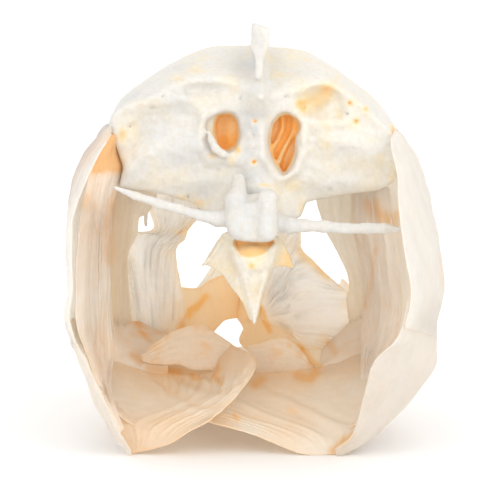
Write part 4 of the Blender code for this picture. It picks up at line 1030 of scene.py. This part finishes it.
    def relief5(U, V, P):
        c = 0.55 - 0.25 * V
        rib = 1.6 * np.exp(-((U - c) / 0.09) ** 2) * smooth(1.1, 0.5, V) + 0.8 * np.exp(-((U - 0.85) / 0.05) ** 2)
        lines = 0.26 * np.sin(U * 30 + 2 * V + 2 * noise3(U * 4, V * 3, 0 * U, 15)) + 0.10 * np.sin(U * 83 + 3 * noise3(U * 6, V * 3, 0 * U, 16))
        return rib + lines, 0.6 * rib + lines
    plate("hyomandibula_bone_" + t, "hyomandibula_" + t, "palate_bone", strip(hf, hm, hb), 100, 130,
          lambda U, V: 0.9 + 0.9 * np.sin(math.pi * U) ** 2, relief5,
          lambda p, s, u, v, d: 0.04 + 0.2 * np.exp(-((u - 0.72) / 0.06) ** 2) + 0.10 * v, 0.15,
          rag=(0.05, 0.02, 0.02, 0.05), seed=102 + side, wave=0.35)

    # quadrate
    qf, qb = QUADRATE[side]
    plate("quadrate_bone_" + t, "quadrate_" + t, "palate_bone", strip(qf, qb), 60, 60, lambda U, V: 0.9 + 1.2 * V ** 2, None,
          0.25, 0.05, rag=(0.04, 0.04, 0.04, 0), seed=108 + side, wave=0.3)

    # orbital ring
    up = path3(*[H(a, b, 0.4) for a, b in ((2, 62), (3, 76), (12, 88), (23, 94), (34, 90))])
    dn = path3(*[H(a, b, 0.4) for a, b in ((-7, 62), (-6, 84), (4, 103), (22, 110), (38, 98))])

    def relief6(U, V, P):
        tubes = 0.7 * np.exp(-((U - 0.3) / 0.12) ** 2)
        seams = -0.35 * sum(np.exp(-((V - c) / 0.008) ** 2) for c in (0.24, 0.47, 0.72))
        return tubes + seams + 0.08 * np.sin(V * 90), 0.05 * np.sin(V * 60)
    # the warmer inner face is painted shade
    plate("suborbital_bones_" + t, "suborbitals_" + t, "cover_bone", strip(up, dn), 50, 150, 0.9, relief6,
          lambda p, s, u, v, d: 0.10 + 0.15 * s, lambda p, s, u, v, d: 0.45 * (1 - s), rag=(0.03, 0.05, 0, 0),
          seed=114 + side, wave=0.3)

    # jaws
    b = bend
    o = path3((side * 19 + b(30), 31.5, 22), (side * 17 + b(42), 43, 21), (side * 14 + b(54), 55, 17), (side * 7 + b(64), 65, 11), (side * 0.6 + b(68), 68, 8.5))
    l = path3((side * 18 + b(30), 31.5, 12), (side * 16 + b(42), 43, 7), (side * 13 + b(54), 55, 3), (side * 7 + b(63), 63, 0.1), (side * 0.6 + b(66), 66, 0.1))
    m = path3(*[0.5 * (o(q) + l(q)) + np.array((side * 1.2, 0.6, 0)) for q in (0, 0.25, 0.5, 0.75, 1)])
    plate("dentary_bone_" + t, "dentary_" + t, "palate_bone", strip(o, m, l), 50, 110, 1.7, None, 0.12, 0.3, seed=120 + side,
          wave=0.2)
    a = path3((side * 21.8 + b(20), 31.4, 21), (side * 21.0 + b(22), 26, 13.4), (side * 20.2 + b(20), 18, 11.3))
    c = path3((side * 18.5 + b(20), 30.6, 11), (side * 19.3 + b(22), 24, 9), (side * 19.8 + b(20), 17, 8.5))
    plate("anguloarticular_bone_" + t, "anguloarticular_" + t, "palate_bone", strip(a, c), 40, 60, 1.6, None, 0.2, 0.1,
          seed=126 + side, wave=0.2)
    m1 = path3((side * 2.2 + b(60), 61.5, 44), (side * 4.8 + b(57), 61, 35.5), (side * 11 + b(48), 53.5, 28), (side * 17.5 + b(42), 44, 25))
    m2 = path3((side * 2.4 + b(60), 66, 33), (side * 10 + b(58), 62.5, 25.5), (side * 16 + b(50), 54, 21.6), (side * 18.5 + b(42), 45, 23))
    plate("maxilla_bone_" + t, "maxilla_" + t, "palate_bone", strip(m1, m2), 50, 90, 1.4,
          lambda U, V, P: (0.8 * np.exp(-((U - 0.25) / 0.15) ** 2), 0 * U), 0.15, 0.2, rag=(0.03, 0.04, 0, 0), seed=132 + side, wave=0.2)
    p = path3((side * 2.1 + b(68), 70.5, 31), (side * 6 + b(66), 68.2, 25), (side * 12 + b(60), 61.2, 21.0), (side * 14.5 + b(52), 54.5, 19.0))
    rod("premaxilla_bone_" + t, "premaxilla_" + t, "palate_bone", p, lambda q: (1.1 + 0 * q, 2.6 - 1.7 * q), 70, 24, 0.15, 0.3)
    r1 = path3((side * 3.2 + b(38), 33, 50), (side * 5 + b(44), 43, 41), (side * 4 + b(54), 54, 33))
    r2 = path3((side * 1.2 + b(38), 34, 43), (side * 1.6 + b(46), 44, 33), (side * 1.4 + b(54), 53, 25))
    plate("palatine_bone_" + t, "palatine_" + t, "palate_bone", strip(r1, r2), 50, 70, 1.2, None, 0.3, 0.0,
          rag=(0.05, 0.05, 0, 0), seed=138 + side, wave=0.25)


def rod(name, node, slot, path, rad, steps, sides, amber=0.1, pale=0.1, up=(0, 0, 1), seed=3):
    """Closed strut along a path with two half widths, rounded at its ends."""
    t = cluster(steps + 1)
    P = path(t)
    d = path(np.minimum(t + 0.02, 1)) - path(np.maximum(t - 0.02, 0))
    d /= np.linalg.norm(d, axis=-1, keepdims=True)
    s = np.cross(d, np.array(up, float))
    s /= np.linalg.norm(s, axis=-1, keepdims=True)
    w = np.cross(s, d)
    a, b = rad(t)
    e = np.sqrt(np.clip(1 - (np.clip(1 - t / 0.06, 0, 1)) ** 2, 0.02, 1)) * np.sqrt(np.clip(1 - (np.clip(1 - (1 - t) / 0.06, 0, 1)) ** 2, 0.02, 1))
    k = np.arange(sides) * 2 * math.pi / sides
    pts = (P[:, None] + s[:, None] * (a * e)[:, None, None] * np.cos(k)[None, :, None]
           + w[:, None] * (b * e)[:, None, None] * np.sin(k)[None, :, None])
    n = fbm(pts[..., 0] / 3, pts[..., 1] / 3, pts[..., 2] / 3, seed, 3)
    pts = pts + (pts - P[:, None]) * (0.12 * n)[..., None]
    idx = np.arange((steps + 1) * sides).reshape(steps + 1, sides)
    q = np.stack((idx[:-1], np.roll(idx, -1, 1)[:-1], np.roll(idx, -1, 1)[1:], idx[1:]), -1).reshape(-1, 4)
    V = np.concatenate((pts.reshape(-1, 3), P[:1], P[-1:]))
    n0 = len(V) - 2
    caps = []
    for i in range(0, sides, 2):
        caps.append((n0, idx[0, (i + 2) % sides], idx[0, (i + 1) % sides], idx[0, i]))
        caps.append((n0 + 1, idx[-1, i], idx[-1, (i + 1) % sides], idx[-1, (i + 2) % sides]))
    return make(name, node, slot, V, np.concatenate((q, np.array(caps))), amber, pale)


def palate():
    """Fan plates of the palate: clear, ribbed like a shell, with a tan rim."""
    clear = bone_material("palate_clear", (1.0, 0.985, 0.95), (0.98, 0.78, 0.50), (0.98, 0.98, 0.975), sss=0.1, depth=0.003,
                          rough=0.16, mottle=0.3, bump=0.25, through=0.9)

    def fan(cu, cv, n, amp):
        def relief(U, V, P):
            a = np.arctan2(V - cv, U - cu)
            r = np.hypot(U - cu, V - cv)
            k = noise3(a * n / 3.0, r * 2.6, 0 * r, 19)
            g = amp * (1 - 2.6 * np.abs(k)) * smooth(0.05, 0.35, r)
            g = g + 0.55 * amp * (1 - 2.2 * np.abs(noise3(a * n / 1.25, r * 4.5, 0 * r, 23))) * smooth(0.1, 0.5, r)
            return g, g * 0.6
        return relief

    def tint(p, s, u, v, d):
        n = fbm(p[:, 0] / 3, p[:, 1] / 3, p[:, 2] / 3, 61, 3)
        return 0.18 * smooth(1.8, 0.3, d) + 0.03 + 0.16 * smooth(0, 0.6, n)
    rows = (rear_path((210, 188, 2), (188, 187, 2), (170, 186, 2), (150, 184, 2)),
            rear_path((204, 212, 4), (186, 212, 4), (166, 212, 4), (149, 210, 4)),
            rear_path((190, 229, 6), (176, 230, 6), (162, 231, 7), (152.5, 229, 7)),
            rear_path((186, 239, 7), (166, 240, 8), (150, 238, 8), (124, 236, 9)),
            rear_path((177, 257, 9), (161, 262, 10), (142, 266, 11), (121, 268, 11)),
            rear_path((192, 330, 12.5), (168, 342, 12.5), (146, 352, 13), (124, 354, 13.5)))
    plate("palate_fan_left", "pterygoid_fan_left", "palate_bone", strip(*rows), 150, 120, 0.7, fan(1.15, 0.55, 30, 0.55),
          tint, lambda p, s, u, v, d: 0.6 * smooth(1.5, 5, d), rag=(0.02, 0.03, 0.03, 0.01), seed=150, wave=0.8, mat=clear, edge_tint=0.05)
    top = path3(rear(267, 214, 6), rear(298, 220, 6.5), rear(301.5, 246, 7), rear(316, 262, 7), rear(338, 284, 6))
    md = path3(rear(258, 272, 11), rear(286, 278, 11), rear(303, 288, 11), rear(354, 304, 9))
    low = path3(rear(262, 322, 15), rear(284, 334, 13), rear(306, 350, 11), rear(362, 358, 8))
    plate("palate_fan_right", "pterygoid_fan_right", "palate_bone", strip(top, md, low), 150, 150, 0.7, fan(0.95, 0.0, 46, 0.45),
          tint, lambda p, s, u, v, d: 0.6 * smooth(1.5, 5, d), rag=(0.03, 0.04, 0.02, 0.04), seed=152, wave=0.6, mat=clear, edge_tint=0.08)
    rod("fan_spur_left", None, "palate_bone", rear_path((147.5, 203, 2.2), (146.2, 212, 2.4), (145.6, 219, 2.8), (146, 226.5, 3.2)),
        lambda t: (0.62 - 0.3 * t ** 2, 0.42 - 0.1 * t), 40, 16, 0.05, 0.4)
    # roof of the mouth
    top = rear_path((170, 284, 16), (196, 287.5, 20), (207, 281.5, 24), (224, 275, 30), (247, 284, 34))
    low = rear_path((158, 350, 16), (186, 348, 20), (211, 335, 26), (223, 322, 33), (238, 318, 37))
    plate("mouth_roof_bone_left", "mouth_roof_left", "palate_bone", strip(top, low), 80, 90, 0.75, None,
          lambda p, s, u, v, d: 0.34 + 0.25 * v, 0.0, rag=(0.02, 0.03, 0, 0), seed=156, wave=0.6)
    top = rear_path((236, 279, 34), (256, 285, 31), (270, 296, 27), (284, 306, 22), (302, 312, 18))
    low = rear_path((237, 319, 37), (243.5, 330, 33), (240, 344, 30), (264, 358, 26), (304, 360, 18))
    plate("mouth_roof_bone_right", "mouth_roof_right", "palate_bone", strip(top, low), 80, 90, 0.75, None,
          lambda p, s, u, v, d: 0.34 + 0.2 * (1 - v), 0.0, rag=(0.02, 0.02, 0, 0), seed=158, wave=0.6)


def hyoid():
    up = path3(rear(139, 358, -10), rear(153, 344, -9), rear(174, 330, -7), rear(200, 323, -5), rear(214, 331, -4), rear(232, 344, -3))
    md = path3(rear(140, 360, -11), rear(156, 354, -10), rear(180, 348, -8), rear(212, 350, -6), rear(230, 357, -4))
    dn = path3(rear(141, 362, -11), rear(160, 366, -12), rear(184, 370, -10), rear(212, 374, -8), rear(226, 370, -5))
    blotch = lambda p, s, u, v, d: 0.16 + 0.10 * smooth(2.0, 0.3, d) + 0.30 * smooth(0, 0.6, fbm(p[:, 0] / 2.5, p[:, 1] / 2.5, p[:, 2] / 2.5, 63, 3))
    rel = lambda U, V, P: (0.35 * np.sin(V * 9 + 4 * U) * smooth(0, 0.3, U) + 0.12 * np.sin(U * 30 + V * 8),
                           0.12 * np.sin(U * 30 + V * 8))
    plate("hyoid_leaf_left", "hyoid_bar_left", "hyoid_bone", strip(up, md, dn), 110, 150, 1.5, rel, blotch, 0.0,
          rag=(0.05, 0.14, 0.04, 0.02), seed=160, wave=0.8, edge_tint=0.05)
    up = path3(rear(316, 366, -10), rear(302, 350, -9), rear(284, 336, -7), rear(247, 345, -3))
    md = path3(rear(315, 367, -11), rear(300, 362, -10), rear(280, 356, -8), rear(248, 362, -4))
    dn = path3(rear(314, 368, -11), rear(299, 375.5, -12), rear(280, 374, -11), rear(254, 379, -8))
    plate("hyoid_leaf_right", "hyoid_bar_right", "hyoid_bone", strip(up, md, dn), 110, 130, 1.5, rel, blotch, 0.0,
          rag=(0.08, 0.14, 0.04, 0.02), seed=162, wave=0.8, edge_tint=0.05)
    rod("basihyal_bone", "basihyal", "hyoid_bone", path3(rear(224, 352, 2), rear(222, 356, 16), rear(224, 360, 30)),
        lambda t: (2.2 - t, 1.8 + 0 * t), 60, 24, 0.3)
    plate("urohyal_bone", "urohyal", "hyoid_bone",
          strip(rear_path((160, 371, -8), (195, 381, -8), (226, 384, -8), (262, 383, -8), (326, 372, -8)),
                rear_path((168, 360, 10), (200, 366, 10), (226, 369, 10), (262, 367, 10), (300, 362, 10)),
                rear_path((196, 356, 34), (212, 360, 34), (228, 362, 34), (244, 361, 34), (262, 358, 34))),
          60, 90, 1.0, None, 0.45, 0.0, rag=(0.04, 0.04, 0.02, 0.02), seed=164, wave=0.5)
    rod("kinethmoid_bone", "kinethmoid", "palate_bone",
        path3((bend(64) + 0.2, 61.5, 47), (bend(66) + 0.2, 67, 41), (bend(68) + 0.2, 70, 36)),
        lambda t: (1.2 + 0 * t, 1.6 - 0.5 * t), 40, 20, 0.1)


def linings():
    """Dried skin inside the covers, running down into the throat; the orange in the left upper corner is painted shade
    of the deep crevice there.
    """
    def tri(p, s, u, v, d):
        px, py = drawing(p[:, 0], p[:, 1], p[:, 2])
        n = fbm(p[:, 0] / 2.2, p[:, 1] / 2.2, p[:, 2] / 2.2, 181, 3)
        m = fbm(p[:, 0] / 5, p[:, 1] / 9, p[:, 2] / 14, 182, 3)
        # painted shade: strong orange in the crevice of the upper corner; below it, more amber near the top and near
        # the bottom of the wall, with noise mottles
        top = smooth(172, 165, py + 4 * n)
        low = smooth(320, 370, py)
        return top * (0.86 + 0.5 * n) + (1 - top) * (0.13 + 0.19 * smooth(320, 210, py) + 0.14 * low + 0.17 * smooth(0.0, 0.6, m) + 0.10 * smooth(0.1, 0.6, n))

    def folds(U, V, P):
        g = 0.35 * noise3(U * 3.1, V * 12, 0 * U, 183) * smooth(0.3, 0.1, V)
        g = g + (0.42 * np.sin(U * 15 + 2.4 * noise3(U * 2, V * 5, 0 * U, 184)) + 0.16 * np.sin(U * 47 + 3 * noise3(U * 3, V * 6, 0 * U, 185))) * smooth(0.15, 0.3, V) * smooth(0.0, 0.1, U) * smooth(1.0, 0.9, U)
        return g, g
    rows = (
        ((121, 132, -38.6), (118.5, 148, -38.2), (123, 160, -37.6), (124.5, 172, -37), (114, 200, -34), (112, 230, -23), (110, 260, -19.5), (110, 290, -15.5),
         (111, 310, -12.8), (113, 330, -11.5), (115, 347, -11.5), (114, 361, -15.5), (112, 384, -29.5), (116, 405, -39), (125, 430, -44.5)),
        ((118, 133, -40), (113.5, 148, -42), (113, 160, -42.5), (113, 172, -43), (106, 200, -40), (104, 230, -29), (103, 260, -23.5), (103, 290, -19.5),
         (103, 310, -17.5), (103, 330, -17), (104, 347, -17.2), (106, 362, -19), (107, 384, -31), (113, 405, -40.5), (124, 431, -45.5)),
        ((115, 133.5, -41.5), (109, 147, -44.5), (103, 160, -46), (101, 172, -46.5), (95, 200, -45), (93, 230, -31), (93, 260, -25), (93, 290, -24),
         (93, 310, -24), (93, 330, -24.5), (94, 346, -26), (97, 362, -28), (102, 385, -33.5), (110, 406, -42.5), (123, 432, -46.5)),
        ((111.5, 134, -43), (104, 146, -46.4), (96, 160, -48.4), (90, 172, -49.4), (84, 200, -50.2), (79, 230, -42), (76.5, 260, -43), (76, 290, -43),
         (76, 310, -44), (78, 330, -45), (83, 346, -44), (90, 363, -42), (98, 386, -39), (106, 407, -46), (121, 434, -48)))
    plate("skin_lining_left", None, "cover_bone", strip(*[rear_path(*r) for r in rows]), 74, 250, 0.6, folds, tri,
          lambda p, s, u, v, d: 0.22 * smooth(170, 180, drawing(p[:, 0], p[:, 1], p[:, 2])[1]) * smooth(0.7, 0.4, v),
          rag=(0.03, 0.02, 0.01, 0.01), seed=186, wave=0.5, mat=SKIN, edge_tint=0.04)
    corner = (
        ((111, 314, -4), (113, 345, -9.8), (113, 362, -13.6)),
        ((126, 320, 6), (128, 343, -2.5), (130, 369, -14.6)),
        ((146, 322, 14), (148, 345, 0), (150, 373, -15.4)),
        ((168, 330, 14), (168, 348, 1), (168, 374, -15.4)))
    plate("skin_corner_left", None, "cover_bone", strip(*[rear_path(*r) for r in corner]), 70, 70, 0.6, None,
          lambda p, s, u, v, d: 0.26 + 0.35 * smooth(-0.1, 0.6, fbm(p[:, 0] / 4, p[:, 1] / 5, p[:, 2] / 4, 190, 3)), 0.0,
          rag=(0.01, 0.01, 0.01, 0.01), seed=191, wave=0.6, mat=SKIN, edge_tint=0.04)
    rows = (
        ((350, 190, -13.5), (351, 222, -12.2), (357, 250, -8), (363, 280, -4.5), (362, 308, -1.5), (360, 330, -4), (360, 350, -11), (360, 370, -22), (361, 392, -29)),
        ((368, 188, -21), (371, 222, -21), (377, 256, -19), (381, 290, -15.5), (381, 312, -12.5), (379, 332, -12.5), (376, 350, -16), (372, 370, -24), (368, 392, -30)),
        ((390, 186, -26), (394, 222, -27), (400, 262, -26), (402, 296, -22), (401, 318, -20), (396, 343, -21), (388, 362, -26), (381, 378, -30), (375, 394, -34)))
    corner = (
        ((322, 350, 14), (320, 360, -2), (321, 368, -14), (324, 382, -18)),
        ((342, 328, 12), (341, 344, 0), (341, 358, -12), (342, 378, -18)),
        ((368, 312, 3), (366, 330, -2), (366, 350, -10), (364, 376, -18)))

    def soft(U, V, P):
        g = (0.36 * np.sin(U * 17 + 2.4 * noise3(U * 2, V * 4, 0 * U, 187)) + 0.14 * np.sin(U * 50 + 3 * noise3(U * 3, V * 6, 0 * U, 192))) * smooth(0.0, 0.1, U) * smooth(1.0, 0.85, V)
        return g, g
    sand = lambda p, s, u, v, d: 0.15 + 0.14 * smooth(0.0, 0.6, fbm(p[:, 0] / 5, p[:, 1] / 5, p[:, 2] / 9, 188, 3)) + 0.08 * smooth(300, 360, drawing(p[:, 0], p[:, 1], p[:, 2])[1])
    plate("skin_lining_right", None, "cover_bone", strip(*[rear_path(*r) for r in rows]), 70, 180, 0.6, soft, sand, 0.1,
          rag=(0.03, 0.01, 0.01, 0.0), seed=189, wave=0.5, mat=SKIN, edge_tint=0.04)
    plate("skin_corner_right", None, "cover_bone", strip(*[rear_path(*r) for r in corner]), 70, 70, 0.6, None, sand, 0.0,
          rag=(0.02, 0.01, 0.0, 0.0), seed=193, wave=0.5, mat=SKIN, edge_tint=0.04)


def gill_sheets():
    """Branchiostegal rays under the throat with dried skin between them."""
    def rays(n, ph):
        def relief(U, V, P):
            c = (V - 0.92 * U ** 1.6) / (1.08 - 0.92 * U ** 1.6) * n + ph + 0.25 * noise3(U * 2, V * 2, 0 * U, 33)
            r = np.abs(c - np.round(c))
            g = 0.40 * np.exp(-(r / 0.16) ** 2) * smooth(0.02, 0.3, U) * smooth(1.0, 0.75, U)
            g = g + 0.05 * np.sin(c * 15 + 2 * noise3(U * 5, V * 5, 0 * U, 35)) * smooth(0.0, 0.2, U)
            px, py = drawing(P[..., 0], P[..., 1], P[..., 2])
            if (px < 200).mean() > 0.5:
                q = np.hypot((px - 214) / 1.25, py - 356) + 3 * noise3(px / 14, py / 14, 0 * px, 37)
                g = g + 0.26 * np.sin(q / 2.1) * smooth(12, 26, q) * smooth(74, 48, q) * smooth(240, 200, px)
                tick = np.sin((px + 0.22 * (py - 380)) / 1.7 + 1.5 * noise3(px / 9, py / 9, 0 * px, 39))
                g = g + 0.34 * tick * smooth(372, 379, py) * smooth(400, 388, py) * smooth(150, 175, px)
            else:
                q = (py - 372) - 0.42 * (px - 255) + 4 * noise3(px / 22, py / 16, 0 * px, 38)
                g = g + 0.20 * np.sin(q / 2.6) * smooth(-2, 12, q) * smooth(46, 30, q) * smooth(372, 340, px)
            return g, g
        return relief

    def tint(p, s, u, v, d):
        n = fbm(p[:, 0] / 7, p[:, 1] / 7, p[:, 2] / 7, 171, 3)
        px, py = drawing(p[:, 0], p[:, 1], p[:, 2])
        q = np.hypot((px - 214) / 1.25, py - 356) + 3 * noise3(px / 14, py / 14, 0 * px, 37)
        arcs = smooth(0.2, -1.0, np.sin(q / 2.1)) * smooth(14, 26, q) * smooth(74, 48, q) * smooth(250, 225, px)
        left = smooth(250, 225, px) * smooth(400, 425, py) * 0.22
        right = 0.07 * smooth(325, 290, px) * smooth(240, 262, px) - 0.05 * smooth(300, 330, px)
        return 0.19 + 0.10 * n + 0.25 * smooth(0.35, 0.0, u) + 0.13 * arcs + left + right
    hin = rear_path((231, 344, -9), (219, 356, -11), (213, 371, -13), (186, 374, -14), (163, 372, -14), (138, 368, -14), (112, 359, -12))
    m1 = rear_path((256, 360, -26), (236, 378, -28), (214, 392, -30), (190, 398, -30), (165, 400, -30), (128, 396, -29), (102, 384, -28))
    m2 = rear_path((243, 389, -38), (212, 407, -40), (166, 420, -40), (132, 420, -39), (105, 412, -38.5))
    out = rear_path((210, 420, -47), (190, 431.5, -47), (168, 445, -45), (133, 455, -42))
    plate("gill_sheet_left", "gill_rays_left", "hyoid_bone", strip(hin, m1, m2, out), 170, 170, 0.9, rays(2.6, 0.2), tint, 0.05,
          rag=(0.03, 0.01, 0.0, 0.0), seed=170, wave=0.5)
    hin = rear_path((238, 374, -15), (276, 371, -15), (318, 366, -14), (350, 355, -12), (380, 340, -9))
    m1 = rear_path((232, 394, -26), (276, 400, -28), (325, 400, -29), (368, 388, -29), (405, 368, -27))
    m2 = rear_path((220, 412, -35), (270, 422, -37), (322, 428, -38), (364, 420, -38), (400, 400, -37.5))
    out = rear_path((205, 421, -42), (255, 436, -43), (301, 454.5, -43), (348, 455, -42))
    plate("gill_sheet_right", "gill_rays_right", "hyoid_bone", strip(hin, m1, m2, out), 170, 170, 0.9, rays(2.6, 0.6), tint, 0.05,
          rag=(0.03, 0.012, 0.0, 0.0), seed=172, wave=0.5)


braincase()
vertebrae()
pharyngeal_process()
for s in (-1, 1):
    cover(s)
palate()
hyoid()
linings()
gill_sheets()

# ---- studio --------------------------------------------------------------------
fm = bpy.data.materials.new("studio_floor")
fm.use_nodes = True
fb = fm.node_tree.nodes["Principled BSDF"]
fb.inputs["Base Color"].default_value = (0.97, 0.97, 0.97, 1)
fb.inputs["Roughness"].default_value = 0.9
fb.inputs["Specular IOR Level"].default_value = 0.0
me = bpy.data.meshes.new("studio_floor")
me.from_pydata([(-30, -30, 0), (30, -30, 0), (30, 30, 0), (-30, 30, 0)], [], [(0, 1, 2, 3)])
me.materials.append(fm)
floor = bpy.data.objects.new("studio_floor", me)
bpy.context.scene.collection.objects.link(floor)

sc = bpy.context.scene
world = bpy.data.worlds.new("studio")
sc.world = world
world.use_nodes = True
bg = world.node_tree.nodes["Background"]
bg.inputs[0].default_value = (1.0, 1.0, 1.0, 1)
bg.inputs[1].default_value = 1.05

sun = bpy.data.lights.new("key", "SUN")
sun.energy = 0.12
sun.angle = math.radians(35)
so = bpy.data.objects.new("key", sun)
sc.collection.objects.link(so)
so.rotation_euler = Vector((-0.9, 0.55, 1.0)).to_track_quat("Z", "Y").to_euler()

for name, power, way in (("fill_right", 1.24, (0.75, -1.0, 0.34)), ("fill_left", 0.66, (-0.6, -1.0, 0.30))):
    fill = bpy.data.lights.new(name, "SUN")
    fill.energy = power
    fill.angle = math.radians(70)
    fo = bpy.data.objects.new(name, fill)
    sc.collection.objects.link(fo)
    fo.rotation_euler = Vector(way).to_track_quat("Z", "Y").to_euler()

cam = bpy.data.cameras.new("camera")
co = bpy.data.objects.new("camera", cam)
sc.collection.objects.link(co)
sc.camera = co
cam.sensor_width = 36
cam.lens = 36 * VIEW_D / (500 * UNIT)
cam.clip_start = 0.01
M = Matrix((Vector(RIGHT), Vector(UP), Vector(BACK))).transposed().to_4x4()
M.translation = Vector((EYE + ORIGIN) * MM)
co.matrix_world = M
sc.view_settings.view_transform = "Standard"
